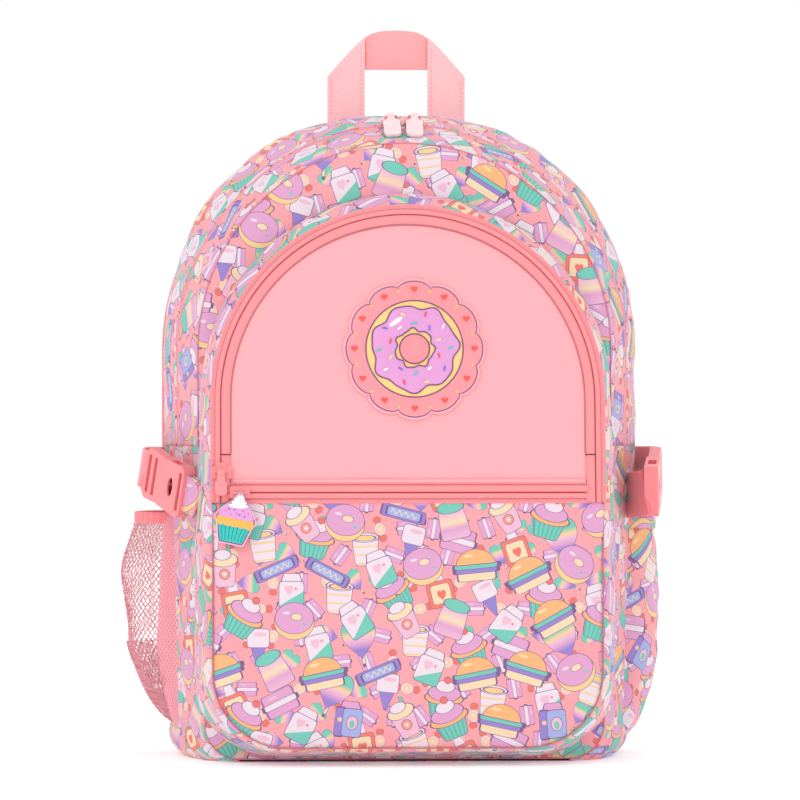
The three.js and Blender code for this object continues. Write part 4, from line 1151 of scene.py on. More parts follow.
def arch_path(radius, low, out, steps=150):
    """Along an arch on the leaning face, from its left foot to its right, as (point, across outwards, up)."""
    leg = POCKET_ARCH - low
    total = 2 * leg + math.pi * radius
    path = []
    for i in range(steps + 1):
        d = total * i / steps
        if d < leg:
            x, up, a = -radius, low + d, Vector((-1, 0, 0))
        elif d > total - leg:
            x, up, a = radius, low + total - d, Vector((1, 0, 0))
        else:
            t = math.pi - (d - leg) / radius
            x, up = radius * math.cos(t), POCKET_ARCH + radius * math.sin(t)
            a = Vector((1, 0, 0)) * math.cos(t) + FACE_UP * math.sin(t)
        path.append((face_point(x, out, up), a, FACE_OUT.copy()))
    return path


def pocket_outline(half, bottom):
    return Outline(-half, half, bottom, TILT_Z + POCKET_ARCH + half, POCKET_CORNER, half - 0.1)


def on_face(x, z, out=0.0):
    """The pocket's face at x and z: upright below the lower zip, leaning back above it."""
    if z <= TILT_Z:
        return Vector((x, POCKET_Y - out, z))
    return face_point(x, out, z - TILT_Z)


def front_pocket():
    count = 300
    front = pocket_outline(POCKET_HALF, POCKET_BOTTOM).loop(count)
    rear = pocket_outline(POCKET_BASE_HALF, 2.5).loop(count)
    middle = Vector((0, 0, 190))

    def gusset_at(u, v):
        i = int(round(u * count)) % count
        x, z = front[i]
        low = smooth(176, 150, z)
        a = on_face(x, z)
        flare = smooth(235, 150, z)
        b = Vector((rear[i][0] * (1 + 0.028 * flare), -38.0 + 6 * flare, rear[i][1]))
        away = Vector((a.x, 0, a.z - middle.z))
        if 60 < z < TILT_Z + POCKET_ARCH:
            away.z = 0
        away = away.normalized()
        p = a.lerp(b, v)
        p += away * 3.2 * math.sin(math.pi * v) * smooth(0, 40, z)
        # the edge rolls over into a groove where it meets the printed panel
        roll = math.exp(-((v * 46) ** 2) / 9)
        p += low * roll * (Vector((0, 3.5, 0)) - away * 2.4)
        p -= away * crease(*p) * 0.6 * smooth(0.03, 0.3, v) * smooth(1.0, 0.8, v)
        p -= away * 0.8 * abs(math.sin(u * count * 0.61)) * math.exp(-v * 9) * low
        return p

    obj = grid("pocket_side_cloth", count, 26, gusset_at, printed, True, (0.02, 0.61), flip=True, fitted=True)
    thicken(obj, POCKET_CLOTH_T, -1)
    shown(obj, "root", "printed_fabric", "pocket_gusset")

    panel_top = 168.4
    low = Outline(-124.6, 124.6, 11.4, panel_top, 48.5, 2)

    def lower_at(x, z, inset):
        near_top = smooth(0, 34, panel_top - z)
        out = -3.4 * near_top * math.exp(-inset / 3.0) + 7.5 * near_top * (1 - math.exp(-inset / 16))
        out += 1.5 * (1 - near_top)
        out -= crease(x * 0.8, -84, z) * 0.45 * smooth(2, 26, inset) * near_top
        out -= 2.8 * math.exp(-(((x + 107) / 15) ** 2) - ((z - 150) / 15) ** 2)  # room for the charm
        out += 0.35 * math.sin(x * 0.75 + math.sin(z * 0.4)) * math.exp(-inset / 5) * near_top
        return Vector((x, POCKET_Y + 1.5 - out, z))

    # a thin line of painted shade in the groove round the lower panel
    groove = [(Vector((x, POCKET_Y + 3.2, z)), z) for x, z in low.loop(300) if z < 160]
    split = max(range(len(groove)), key=lambda i: (groove[i][0] - groove[i - 1][0]).length)
    line = [p for p, _ in groove[split:] + groove[:split]]
    seam = wire("pocket_groove", line, 0.45, seam_shade, closed=False)
    shown(seam, "root", "printed_fabric")

    obj = panel("pocket_front_cloth", low, 300, rings(low, 4), lower_at, printed, (0.2, 0.02))
    thicken(obj, POCKET_CLOTH_T, -1)
    shown(obj, "root", "printed_fabric", "pocket_lower_panel")

    inner = Outline(-121, 121, 35, 166.4, 20, 2)

    def inner_at(x, z, inset):
        return Vector((x, -69.5 + 1.2 * ripple(x, 0, z, 40), z))

    obj = panel("pocket_lining_cloth", inner, 120, rings(inner, 8), inner_at, lining)
    thicken(obj, 0.6, 0)
    shown(obj, "root", "lining", "pocket_divider")


def pocket_zips():
    lower = []
    steps = 60
    for i in range(steps + 1):
        x = lerp(-116, 116, i / steps)
        lower.append((Vector((x, POCKET_Y - 0.5, LOWER_ZIP_Z)), Vector((0, 0, 1)), Vector((0, -1, 0))))
    bottom, top = zip_lips("lower_zip", lower, *LOWER_LIPS, 1.9)
    slit = dark_slit("lower_zip_slit", lower, 1.0)
    bottom = join("lower_zip_lip_lower", [bottom, slit])
    shown(bottom, "root", "zip_tape", "lower_zip_stringer_lower")
    top.name = "lower_zip_lip_upper"
    shown(top, "root", "zip_tape", "lower_zip_stringer_upper")
    # thin lines of painted shade where the zip's ridges meet the flat tape below and the hem above
    edges = []
    for dz, out in ((-4.1, 0.75), (4.95, 0.75)):
        line = [Vector((x, POCKET_Y - out, LOWER_ZIP_Z + dz)) for x in range(-114, 115, 6)]
        edges.append(wire(f"edge_{dz}", line, 0.32, seam_shade, closed=False))
    edges = join("lower_zip_edges", edges)
    shown(edges, "root", "zip_tape")
    rows = []
    for dz in (-5.6, 5.6):
        row = [Vector((x, POCKET_Y - 1.0, LOWER_ZIP_Z + dz)) for x in range(-112, 113, 4)]
        rows.append(stitches(f"row_{dz}", row, (0, -1, 0), thread))
    rows = join("lower_zip_stitching", rows)
    shown(rows, "root", "zip_tape")

    foot_low = -7
    whole = arch_path(ARCH_ZIP_R, foot_low, 0.4)
    outer = sweep("arch_zip_lip_outer_cloth", whole, lip_profile(6.7, 1.5, 1, 3.5), tape)
    slit = dark_slit("arch_slit", whole, 0.6, seam_shade)
    outer = join("arch_zip_lip_outer", [outer, slit])
    shown(outer, "root", "zip_tape", "arch_zip_stringer_outer")
    inner_section = lip_profile(LIP_WIDTH, LIP_RISE, -1, 5.9)
    upper = arch_path(ARCH_ZIP_R, FLAP_HINGE + LIP_RISE + 0.2, 0.4)
    inner = sweep("arch_zip_lip_inner", upper, inner_section, tape)
    shown(inner, "flap", "zip_tape", "arch_zip_stringer_inner")
    feet = []
    for side in (-1, 1):
        foot = []
        for k in range(9):
            up = lerp(foot_low, FLAP_HINGE + LIP_RISE - 0.5, k / 8)
            foot.append((face_point(side * ARCH_ZIP_R, 0.4, up), Vector((side, 0, 0)), FACE_OUT.copy()))
        feet.append(sweep(f"foot_{side}", foot, inner_section, tape))
    feet = join("arch_zip_feet", feet)
    shown(feet, "root", "zip_tape")
    # a thin line of painted shade where the outer lip's ridge meets its flat tape
    ridge = [p + a * 3.8 + u * 0.2 for p, a, u in whole]
    ridge = wire("arch_ridge_line", ridge, 0.22, seam_shade, closed=False)
    shown(ridge, "root", "zip_tape")
    line = [p + a * 5.5 + u * 0.3 for p, a, u in whole]
    seam = stitches("arch_zip_stitching_outer", line, [u for _, _, u in whole], thread)
    shown(seam, "root", "zip_tape")
    # a thin line of painted shade along the seam round the flap, inside the inner lip
    groove = [(p - a * 6.4 - u * 0.1, a, u) for p, a, u in upper]
    line = sweep("flap_seam_line", groove, [(-0.4, 0.0), (0.4, 0.0), (0.4, 0.55), (-0.4, 0.55)], seam_shade)
    shown(line, "flap", "zip_tape")


def flap_height(x):
    return POCKET_ARCH + math.sqrt(max(0.0, FLAP_CLOTH_R * FLAP_CLOTH_R - x * x))


def flap_out(x, up, wrinkle):
    """How far the flap's cloth stands off the leaning face."""
    half, top = FLAP_CLOTH_R, flap_height(x)
    edge = half - math.hypot(x, max(0.0, up - POCKET_ARCH))
    rise = 1 - math.exp(-min(edge, up - HEM_LOW) / 4.0)
    bulge = 3.4 * (1 - (x / half) ** 2) * smooth(HEM_LOW, 90, up) * smooth(top, top - 60, up)
    return 0.2 + 0.9 * rise + bulge + wrinkle * ripple(x, 0, up, 34, 5.0) * smooth(2, 20, edge)


def flap():
    """The plain flap and the hem below it are one cloth, from the hem up to the top of the flap."""
    half, steps = FLAP_CLOTH_R, 90
    verts, uvs, faces = [], [], []
    for j in range(steps + 1):
        for i in range(steps + 1):
            x = half * math.sin(lerp(-math.pi / 2, math.pi / 2, i / steps))
            up = lerp(HEM_LOW, flap_height(x), j / steps)
            verts.append(face_point(x, flap_out(x, up, 0.55), up))
            uvs.append((x * MM, up * MM))
    for j in range(steps):
        for i in range(steps):
            a = j * (steps + 1) + i
            faces.append((a, a + 1, a + steps + 2, a + steps + 1))
    obj = make("flap_cloth", verts, faces, uvs, plain)
    thicken(obj, CLOTH_T, -1)
    apply_modifiers(obj)
    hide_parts("flap_panel", "flap_hem")
    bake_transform(obj)
    # the hem's folded edge above the lower zip, with a line of painted shadow just below the fold
    edge = []
    for i in range(61):
        edge.append((face_point(lerp(-half, half, i / 60), 0.3, HEM_LOW), Vector(FACE_UP), FACE_OUT.copy()))
    raised = [(p + u * 0.7, a, u) for p, a, u in edge]
    fold = sweep("hem_fold", raised, band(2.4, 1.8, 0.5), plain)
    below = [(p - FACE_UP * 1.4 + u * 0.2, a, u) for p, a, u in edge]
    shade = sweep("hem_shade", below, band(1.1, 1.2, 0.5), hem_painted_shadow)
    fold = join("hem_edge", [fold, shade])
    shown(fold, "root", "plain_fabric")


# ---------------------------------------------------------------- badge and charm
def relief(name, outline, bottom, top, place, material, soft=0.5):
    """A small moulded plate with a rounded upper edge: outline is (a, b) pairs round its middle."""
    count = len(outline)
    cx = sum(p[0] for p in outline) / count
    cz = sum(p[1] for p in outline) / count
    levels = [(0.0, bottom), (0.0, top - soft), (soft * 0.3, top - soft * 0.3), (soft, top)]
    verts = []
    for inset, h in levels:
        for a, b in outline:
            r = math.hypot(a - cx, b - cz)
            k = 1 - inset / max(r, inset + 0.01)
            verts.append(place(cx + (a - cx) * k, cz + (b - cz) * k, h))
    for a, b in outline:
        verts.append(place(cx + (a - cx) * 0.55, cz + (b - cz) * 0.55, top))
    verts.append(place(cx, cz, top))
    faces = wall_faces(len(levels) + 1, count)
    last = len(levels) * count
    for i in range(count):
        faces.append((last + i, last + (i + 1) % count, len(verts) - 1))
    faces.append(tuple(range(count))[::-1])
    obj = make(name, verts, faces, [(v[0] * MM, v[2] * MM) for v in verts], material)
    fix_normals(obj)
    return obj


def oval_outline(cx, cz, ra, rb, turn=0.0, count=28):
    out = []
    c, s = math.cos(turn), math.sin(turn)
    for a, b in circle(1.0, count):
        out.append((cx + ra * a * c - rb * b * s, cz + ra * a * s + rb * b * c))
    return out


def heart_outline(cx, cz, size, count):
    out = []
    for i in range(count):
        t = TAU * i / count
        x = 16 * math.sin(t) ** 3
        z = 13 * math.cos(t) - 5 * math.cos(2 * t) - 2 * math.cos(3 * t) - math.cos(4 * t)
        out.append((cx - x / 16 * size, cz + (z + 2) / 16 * size))
    return out


def wire(name, line, radius, material, closed=True, sides=8):
    """A thin round line through points on a surface."""
    pts = [Vector(p) for p in line]
    n = len(pts)
    stations = []
    for i, p in enumerate(pts):
        after = pts[(i + 1) % n if closed else min(i + 1, n - 1)]
        before = pts[i - 1 if closed or i else 0]
        t = (after - before).normalized()
        ref = Vector((0, -1, 0)) if abs(t.y) < 0.9 else Vector((1, 0, 0))
        side = t.cross(ref).normalized()
        stations.append((p, side, side.cross(t).normalized()))
    return sweep(name, stations, circle(radius, sides), material, closed=closed)


LOBES = 12  # round the badge's rim
RING_STEPS = 168
SPRINKLES = 20
BADGE_COLOURS = {
    "rim": linear(252, 172, 178),
    "field": linear(250, 150, 158),
    "ink": linear(122, 80, 132),
    "dough": linear(252, 208, 130),
    "icing": linear(226, 156, 212),
    "white": linear(253, 244, 248),
    "cream": linear(252, 226, 160),
    "teal": linear(84, 206, 188),
    "violet": linear(138, 118, 212),
    "red": linear(244, 88, 78),
}


def badge():
    """A scalloped rubber badge with a ring doughnut on it."""
    rubber = rubber_set("badge", BADGE_COLOURS, 0.42, 0.08)
    middle_out = flap_out(BADGE_X, BADGE_UP, 0.5)

    def place(a, b, h):
        x, up = BADGE_X + a, BADGE_UP + b
        return face_point(x, middle_out * 0.4 + flap_out(x, up, 0.5) * 0.6 + h, up)

    def lobed(radius, depth):
        out = []
        for i in range(192):
            t = TAU * i / 192
            r = radius + depth * abs(math.cos(LOBES / 2 * t)) ** 0.6
            out.append((r * math.cos(t), r * math.sin(t)))
        return out

    parts = [
        relief("badge_rim", lobed(42.4, 3.4), -0.6, 1.2, place, rubber["rim"], 0.6),
        relief("badge_edge", lobed(40.8, 3.3), 0.2, 1.45, place, rubber["ink"], 0.2),
        relief("badge_field", lobed(40.1, 3.3), 0.2, 1.75, place, rubber["field"], 0.4),
    ]
    for i in range(LOBES):
        t = TAU * (i + 0.5) / LOBES
        dot = oval_outline(38.2 * math.cos(t), 38.2 * math.sin(t), 1.1, 1.1, count=16)
        parts.append(relief(f"dot_{i}", dot, 1.0, 2.3, place, rubber["cream"]))
    for i, centre in enumerate(circle(38.4, LOBES)):
        parts.append(relief(f"heart_{i}", heart_outline(*centre, 2.3, 24), 1.0, 2.3, place, rubber["red"]))
    base = join("badge_base_rubber", parts)
    shown(base, "flap", "badge_rubber", "badge_base")

    def ring_edge(radius, wave, phase):
        out = []
        for i in range(RING_STEPS):
            t = TAU * i / RING_STEPS
            r = radius + wave * math.sin(7 * t + phase) + wave * 0.4 * math.sin(12 * t + 1.0)
            out.append((r * math.cos(t), r * math.sin(t)))
        return out

    def ring_relief(name, outer, inner, low, high, material):
        def at(u, v):
            i = int(round(u * len(outer))) % len(outer)
            a = lerp(outer[i][0], inner[i][0], v)
            b = lerp(outer[i][1], inner[i][1], v)
            return place(a, b, low + (high - low) * math.sin(math.pi * clamp(v, 0.001, 0.999)) ** 0.42)

        obj = grid(name, len(outer), 18, at, material, ring=True)
        fix_normals(obj)
        return obj

    dough_out, dough_in = ring_edge(31.0, 0.0, 0), ring_edge(9.6, 0.0, 0)
    icing_out, icing_in = ring_edge(27.2, 1.5, 0.6), ring_edge(12.2, 0.9, 2.2)
    art = [
        ring_relief("dough", dough_out, dough_in, 1.6, 3.6, rubber["dough"]),
        ring_relief("icing", icing_out, icing_in, 3.0, 5.0, rubber["icing"]),
    ]
    for k, (edge, h) in enumerate(((dough_out, 1.9), (dough_in, 1.9), (icing_out, 3.45), (icing_in, 3.45))):
        art.append(wire(f"ink_{k}", [place(a, b, h) for a, b in edge], 0.45, rubber["ink"]))
    shine = oval_outline(-12, 17, 5.2, 1.5, 0.62)
    art.append(relief("shine", shine, 4.2, 5.15, place, rubber["white"], 0.3))
    colours = ("teal", "cream", "white", "violet", "red")
    for i in range(SPRINKLES):
        t = TAU * (i + 0.15 * RNG.random()) / SPRINKLES
        r = 19.5 + 3.4 * (-1) ** i
        turn = RNG.uniform(0, math.pi)
        outline = oval_outline(r * math.cos(t), r * math.sin(t), 1.9, 0.7, turn, 14)
        colour = rubber[colours[i % len(colours)]]
        art.append(relief(f"sprinkle_{i}", outline, 3.6, 5.5, place, colour, 0.3))
    art = join("badge_doughnut", art)
    shown(art, "flap", "badge_rubber", "badge_art")


def mirrored_outline(rows, steps=5):
    """A closed outline from (height, half width) rows, from the lowest up, smoothed between them."""
    right = curve_through([(half, 0, height) for height, half in rows], steps)
    left = curve_through([(-half, 0, height) for height, half in rows], steps)
    return [(p.x, p.z) for p in right] + [(p.x, p.z) for p in reversed(left)]


CHARM_X, CHARM_Y, CHARM_HOLE_Z = -107.5, -91.1, 171.3
CHARM_RING_Z, CHARM_RING_R = 173.7, 2.2
CHARM_LEAN = math.radians(12)  # it hangs a little to one side
CHARM_RIM = (
    (-30.2, 6.5), (-29.0, 8.6), (-18.5, 11.6), (-15.2, 13.3), (-12, 12.6), (-7, 9.4), (-3.4, 5.6), (1.6, 2.2),
)
CHARM_INK = (
    (-29.4, 6.2), (-28.3, 7.9), (-18.3, 10.8), (-15.2, 12.5), (-12, 11.9), (-7.2, 8.6), (-4, 5), (-2.4, 3),
)
CHARM_ICING = ((-13.4, 11.0), (-11.4, 11.3), (-8.6, 9.6), (-6.2, 7.8), (-5.4, 6.8))
CHARM_CREAM = ((-7.2, 5.8), (-5.6, 6.3), (-3.0, 5.0), (-0.6, 3.2), (0.8, 1.6))
# the whipped cream's rolls: across, up, half width, half height
CHARM_ROLLS = (
    (0.0, -5.2, 6.3, 1.6),
    (0.2, -3.0, 4.9, 1.5),
    (-0.1, -1.0, 3.4, 1.3),
    (0.2, 0.7, 2.0, 1.2),
    (0.4, 2.0, 0.9, 0.9),
)
CHARM_COLOURS = {
    "rim": linear(252, 190, 214),
    "ink": linear(112, 84, 130),
    "teal": linear(40, 200, 190),
    "deep": linear(24, 150, 150),
    "orange": linear(253, 184, 84),
    "icing": linear(228, 160, 220),
    "white": linear(250, 246, 250),
    "pipe": linear(176, 150, 186),
    "violet": linear(140, 100, 210),
    "pink": linear(244, 110, 170),
}


def charm():
    """The cupcake charm on the lower slider: a thin moulded plate with raised parts."""
    rubber = rubber_set("charm", CHARM_COLOURS, 0.25, 0.05)

    def place(a, b, h):
        c, s = math.cos(CHARM_LEAN), math.sin(CHARM_LEAN)
        return Vector((CHARM_X + a * c + b * s, CHARM_Y - h, CHARM_HOLE_Z + b * c - a * s))

    # each plate: material, bottom, top, soft edge, and (height, half width) from its lowest point up
    plates = {
        "rim": ("rim", -1.0, 0.45, 0.3, CHARM_RIM),
        "ink": ("ink", -0.9, 0.75, 0.2, CHARM_INK),
        "cup": ("teal", 0.3, 1.1, 0.3, ((-28.6, 6.4), (-27.8, 7.2), (-18.0, 10.2), (-17.4, 9.8))),
        "band": ("orange", 0.3, 1.25, 0.3, ((-18.2, 10.4), (-16.4, 12.0), (-13.6, 11.8), (-12.8, 11.0))),
        "icing": ("icing", 0.3, 1.35, 0.35, CHARM_ICING),
        "cream": ("pipe", 0.3, 1.3, 0.35, CHARM_CREAM),
    }
    parts = []
    for name, (key, low, high, soft, rows) in plates.items():
        outline = mirrored_outline(rows)
        parts.append(relief(f"charm_{name}", outline, low, high, place, rubber[key], soft))
    for i, (a, b, wide, high) in enumerate(CHARM_ROLLS):
        roll = oval_outline(a, b, wide, high, 0.12)
        parts.append(relief(f"roll_{i}", roll, 1.0, 1.9, place, rubber["white"], 0.45))
    for i in range(7):
        a = lerp(-7.6, 7.6, i / 6)
        line = [place(a * 0.78, -27.6, 1.05), place(a * 1.08, -18.8, 1.05)]
        parts.append(wire(f"rib_{i}", line, 0.28, rubber["deep"], closed=False, sides=6))
    for i in range(9):
        bead = oval_outline(0.9 * (2 * i - 8), -9.6 + 1.9 * math.sin(2.4 * i), 0.55, 0.55, count=12)
        colour = rubber["violet" if i % 2 else "pink"]
        parts.append(relief(f"bead_{i}", bead, 1.0, 1.7, place, colour, 0.2))
    for i in range(5):
        scallop = oval_outline(lerp(-9.2, 9.2, i / 4), -17.6, 2.3, 1.5, count=18)
        parts.append(relief(f"drip_{i}", scallop, 0.3, 1.22, place, rubber["orange"], 0.3))
    eye = [place(a, b, 0.0) for a, b in circle(1.95, 24)]
    parts.append(wire("charm_eye", eye, 0.7, rubber["white"]))
    obj = join("cupcake_charm", parts)
    shown(obj, "charm", "charm_rubber", "charm")
    centre = Vector((CHARM_X, CHARM_Y, CHARM_RING_Z))
    stations = []
    for y, z in circle(1.0, 36):
        out = Vector((0, y, z))
        stations.append((centre + out * CHARM_RING_R, out, Vector((1, 0, 0))))
    obj = sweep("charm_wire_ring", stations, circle(0.42, 10), metal, closed=True)
    shown(obj, "charm_ring", "ring_metal", "charm_ring")


def pocket_sliders():
    moulding("arch_slider", "arch_slider", "moulded_plastic", slider_paint, 0.6)
    moulding("arch_pull", "arch_pull", "moulded_plastic", slider_paint, 0.45)
    moulding("lower_slider", "lower_slider", "moulded_plastic", slider_paint, 0.5)


# ---------------------------------------------------------------- carry handle
HANDLE_Y = 79.7
HANDLE_FOOT = 423.6
HANDLE_FOLD = 448
HANDLE_TOP = 481
HANDLE_UNDER = 454
HANDLE_SHOULDER = 19  # from the middle, where its outline starts to slope
HANDLE_SOFTNESS = 4.5


def leg_top(x):
    """Height of the handle's outline at x from the middle: level at the top, then down its folds."""
    past = (abs(x) - HANDLE_SHOULDER) / HANDLE_SOFTNESS
    return HANDLE_TOP - 1.15 * HANDLE_SOFTNESS * math.log(1 + math.exp(past))


def carry_handle():
    """Webbing that goes straight up, folds over at 45 degrees and crosses at the top."""
    parts = []
    for side in (-1, 1):

        def leg_at(u, v):
            x = lerp(46, 21, u)
            z = lerp(HANDLE_FOOT - 9, leg_top(x), v)
            y = HANDLE_Y - 1.2 + 0.5 * math.sin(math.pi * v) - 0.9 * smooth(0.7, 1.0, v) * (1 - u)
            y += 0.4 * ripple(x, side * 9, z, 16, 4)
            return Vector((side * x, y, z))

        leg = grid(f"leg_{side}", 20, 36, leg_at, leg_lit_web, flip=side > 0)
        thicken(leg, 1.6, 0)
        parts.append(leg)

    def crown_at(u, v):
        x = lerp(-30, 30, u)
        top = leg_top(x) - 1.4 * smooth(20, 24, abs(x))
        z = lerp(HANDLE_UNDER + 0.6, top, v)
        back = 1.6 * smooth(10, 24, abs(x))
        y = HANDLE_Y + 0.3 + back - 1.4 * math.sin(math.pi * v) * (1 - smooth(0, 24, abs(x)))
        return Vector((x, y, z))

    crown = grid("crown", 60, 16, crown_at, crown_shaded_web)
    thicken(crown, 1.8, 0)
    parts.append(crown)
    obj = join("handle_webbing", parts)
    m = obj.modifiers.new("soft_edges", "BEVEL")
    m.width = 0.5 * MM
    m.segments = 2
    m.limit_method = "ANGLE"
    shown(obj, "carry_handle", "webbing", "carry_handle")
    rows = []
    for side in (-1, 1):
        for x in (23.5, 43.5):
            top = HANDLE_FOLD - 2 if x > 40 else HANDLE_TOP - 12
            line = [Vector((side * x, HANDLE_Y - 2.1, lerp(HANDLE_FOOT, top, k / 10))) for k in range(11)]
            rows.append(stitches(f"handle_row_{side}_{x}", line, (0, -1, 0), thread, 2.9, 2.0, 0.3))
    rows = join("handle_stitching", rows)
    shown(rows, "carry_handle", "webbing")


# ---------------------------------------------------------------- side pockets
def wall_x(y, z):
    """Half the body's width at a height, with its rounded base corner."""
    corner = 0.0
    if z < BASE_CORNER:
        corner = BASE_CORNER - math.sqrt(BASE_CORNER**2 - (BASE_CORNER - max(0.0, z)) ** 2)
    return body_radius(y) - taper(z) - corner


def pocket_point(side, y, z, bottom, top, bulge, mouth, extra=0.0):
    """On a side pocket: it bulges from its front and rear seams and draws in at its mouth."""
    share = clamp((y - PANEL_Y0) / (PANEL_Y1 - PANEL_Y0))
    seam = smooth(0, 0.05, min(share, 1 - share))
    up = clamp((z - bottom) / (top - bottom))
    rise = math.sin(math.pi / 2 * min(1, up / 0.45)) ** 0.8 if up > 0 else 0.0
    fall = lerp(1, mouth, smooth(0.72, 1.04, up))
    offset = lerp(-0.8, 1.2, seam) + bulge * math.sin(math.pi * share) ** 0.55 * rise * fall
    return Vector((side * (wall_x(y, z) + offset + extra), y, z))


def pocket_depth(u):
    """Where a share of the way round a side pocket lies between its seams."""
    return lerp(PANEL_Y0, PANEL_Y1, (1 - math.cos(math.pi * u)) / 2)


NET_W, NET_H, NET_R = 108.0, 138.0, 0.26
NET_LEAN = 0.72  # its threads' step across for each step up


def mesh_side_pocket():
    bottom, top, bulge, mouth = 22, 152, 30, 0.62

    def surface(a, b, layer):
        """a runs round the pocket and b up it, both in millimetres of net."""
        u, v = a / NET_W, b / NET_H
        y = pocket_depth(u)
        z = lerp(bottom, top, v)
        fold = 2.4 * math.sin(7.5 * u + 3.2 * v + layer) * math.sin(math.pi * u) * smooth(0, 0.25, v)
        fold += 1.3 * math.sin(17 * u - 9 * v + 2 * layer) * math.sin(math.pi * u)
        return pocket_point(-1, y, z, bottom, top, bulge, mouth, fold - 2.2 * layer - 1.4)

    def threads(layer, high, pitch):
        verts, faces = [], []
        for lean in (-1, 1):
            start = -NET_H
            while start < NET_W + NET_H:
                run = []
                steps = int(high / 3)
                for k in range(steps + 1):
                    b = lerp(0, high, k / steps)
                    a = start + lean * b * NET_LEAN
                    if 0 <= a <= NET_W:
                        run.append(surface(a, b, layer))
                    elif len(run) > 1:
                        break
                    else:
                        run = []
                base = len(verts)
                for i, p in enumerate(run):
                    t = (run[min(i + 1, len(run) - 1)] - run[max(i - 1, 0)]).normalized()
                    side = t.cross(Vector((1, 0, 0))).normalized()
                    up = side.cross(t)
                    wave = 0.3 * (1 if i % 2 else -1) * lean
                    for across, out in circle(NET_R, 4):
                        verts.append(p + side * across + up * (out + wave))
                faces.extend(wall_faces(len(run), 4, base))
                start += pitch
        return make(f"net_{layer}", verts, faces, [(v[1] * MM, v[2] * MM) for v in verts], net_thread)

    net_obj = join("mesh_pocket_net", [threads(0, NET_H, 3.6), threads(1, NET_H * 0.4, 4.8)])
    shown(net_obj, "root", "mesh", "mesh_pocket")

    def gather_at(u, v):
        z = lerp(bottom - 8, top + 8, v)
        y = lerp(PANEL_Y0 - 1.5, PANEL_Y0 + 3.6 + 1.2 * math.sin(6 * v), u)
        extra = 0.7 * math.sin(v * 60 + 3 * u) * math.sin(math.pi * u) + 0.3
        return pocket_point(-1, y, z, bottom, top, bulge * 0.8, mouth, extra)

    gather = grid("net_seam_band", 8, 90, gather_at, net_band, flip=True)
    thicken(gather, 0.9, 0)
    shown(gather, "root", "mesh")
    pocket_binding(-1, "mesh_pocket_edge", "mesh_pocket_binding", bottom, top, bulge, mouth, binding_web)


def pocket_binding(side, name, node, bottom, top, bulge, mouth, material):
    section = band(7.8, 2.2, 0.5)

    def at(u, v):
        p = pocket_point(side, pocket_depth(u), top, bottom, top, bulge, mouth, -0.6)
        b, a = section[int(round(v * len(section))) % len(section)]
        gather = 0.5 * math.sin(u * 95) * math.sin(math.pi * u)
        return p + Vector((side * (a + gather), 0, 4.1 + b))

    obj = grid(name, 110, len(section), at, material)
    fix_normals(obj)
    shown(obj, "root", "webbing", node)


def fabric_side_pocket():
    bottom, top, bulge, mouth = 8, 148, 18.5, 0.8

    def at(u, v):
        y = pocket_depth(u)
        z = lerp(bottom, top + 1, v)
        edge = math.sin(math.pi * u)
        extra = (1.2 * ripple(0, y, z, 24, 2.0) + 0.8 * ripple(0, y * 1.5, z, 10, 7.0)) * edge
        return pocket_point(1, y, z, bottom, top, bulge, mouth, extra - 0.3)

    obj = grid("side_pocket_cloth", 60, 70, at, printed, uv_start=(0.13, 0.4))
    thicken(obj, CLOTH_T, 0)
    shown(obj, "root", "printed_fabric", "fabric_pocket")
    pocket_binding(1, "side_pocket_edge", "fabric_pocket_binding", bottom, top, bulge, mouth, printed)


# ---------------------------------------------------------------- side clips
CLIP_T = 9
CLIP_LONG = 51
CLIP_RISE = math.radians(17)
CLIPS = {
    "left": (-1, (-137, -44, 173), math.radians(31), (-133.4, -55.5, 168)),
    "right": (1, (156, -30, 173), math.radians(10), (148.8, 8, 171)),
}


def side_clips():
    for name, (side, at, heading, seam) in CLIPS.items():
        along = Vector((side * math.sin(heading), math.cos(heading), 0))
        inward = Vector((-side * math.cos(heading), math.sin(heading), 0))
        turn = Matrix((along, inward, Vector((0, 0, side)))).transposed()
        turn = turn @ Matrix.Rotation(-side * CLIP_RISE, 3, "Y")

        def spot(x, out=-CLIP_T / 2):
            return Vector(at) + turn @ Vector((x, out, 0))

        wide = turn @ Vector((0, 0, 1))
        moulding(f"buckle_socket_{name}", "root", "moulded_plastic", plastic, 0.9)
        moulding(f"buckle_prongs_{name}", f"clip_{name}", "moulded_plastic", plastic, 0.7)
        under = Vector(seam) + Vector((-side * 1.5, 2, -1))
        if side > 0:
            path = [seam, (151.5, -10, 171.5), (154.5, -24, 172.5), spot(2, -0.8)]
            # the right tab is real, and made in the darker coral binding rather than the print as painted
            # shade, for the shadow it lies in beside the clip
            tab = webbing("clip_tab_cloth_right", path, Vector((0, 0, 1)), binding_web, 30)
        else:
            outer = webbing("tab_outer", [seam, spot(-6), spot(3.0, -CLIP_T / 2 - 1)], wide, printed, 24)
            inner = webbing("tab_inner", [under, spot(-6, -1.6), spot(3, -2)], wide, printed, 24)
            tab = join("clip_tab_cloth_left", [outer, inner])
        shown(tab, "root", "webbing", f"clip_tab_{name}")
        rear = Vector((side * (REAR_R + 6), REAR_Y - 4, 190))
        route = [spot(CLIP_LONG - 3), spot(CLIP_LONG + 8), rear]
        strap = webbing(f"clip_strap_{name}", route, wide, strap_web)
        apply_modifiers(strap)
        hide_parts(f"clip_webbing_{name}")
        tuple(spot(CLIP_LONG + 6) * MM)
        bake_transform(strap)


# ---------------------------------------------------------------- back and shoulder straps
STRAP_TOP_Z, STRAP_END_Z = 392, 138
STRAP_STEPS = 90
STRAP_END_X = 106


def strap_centre(side, s):
    x = 44 + 58 * (3 * s * s - 2 * s**3) + 4 * s
    y = 91 + 13 * math.sin(math.pi * min(1, 1.15 * s) ** 0.6) + 8 * s
    return Vector((side * x, y, lerp(STRAP_TOP_Z, STRAP_END_Z, s)))


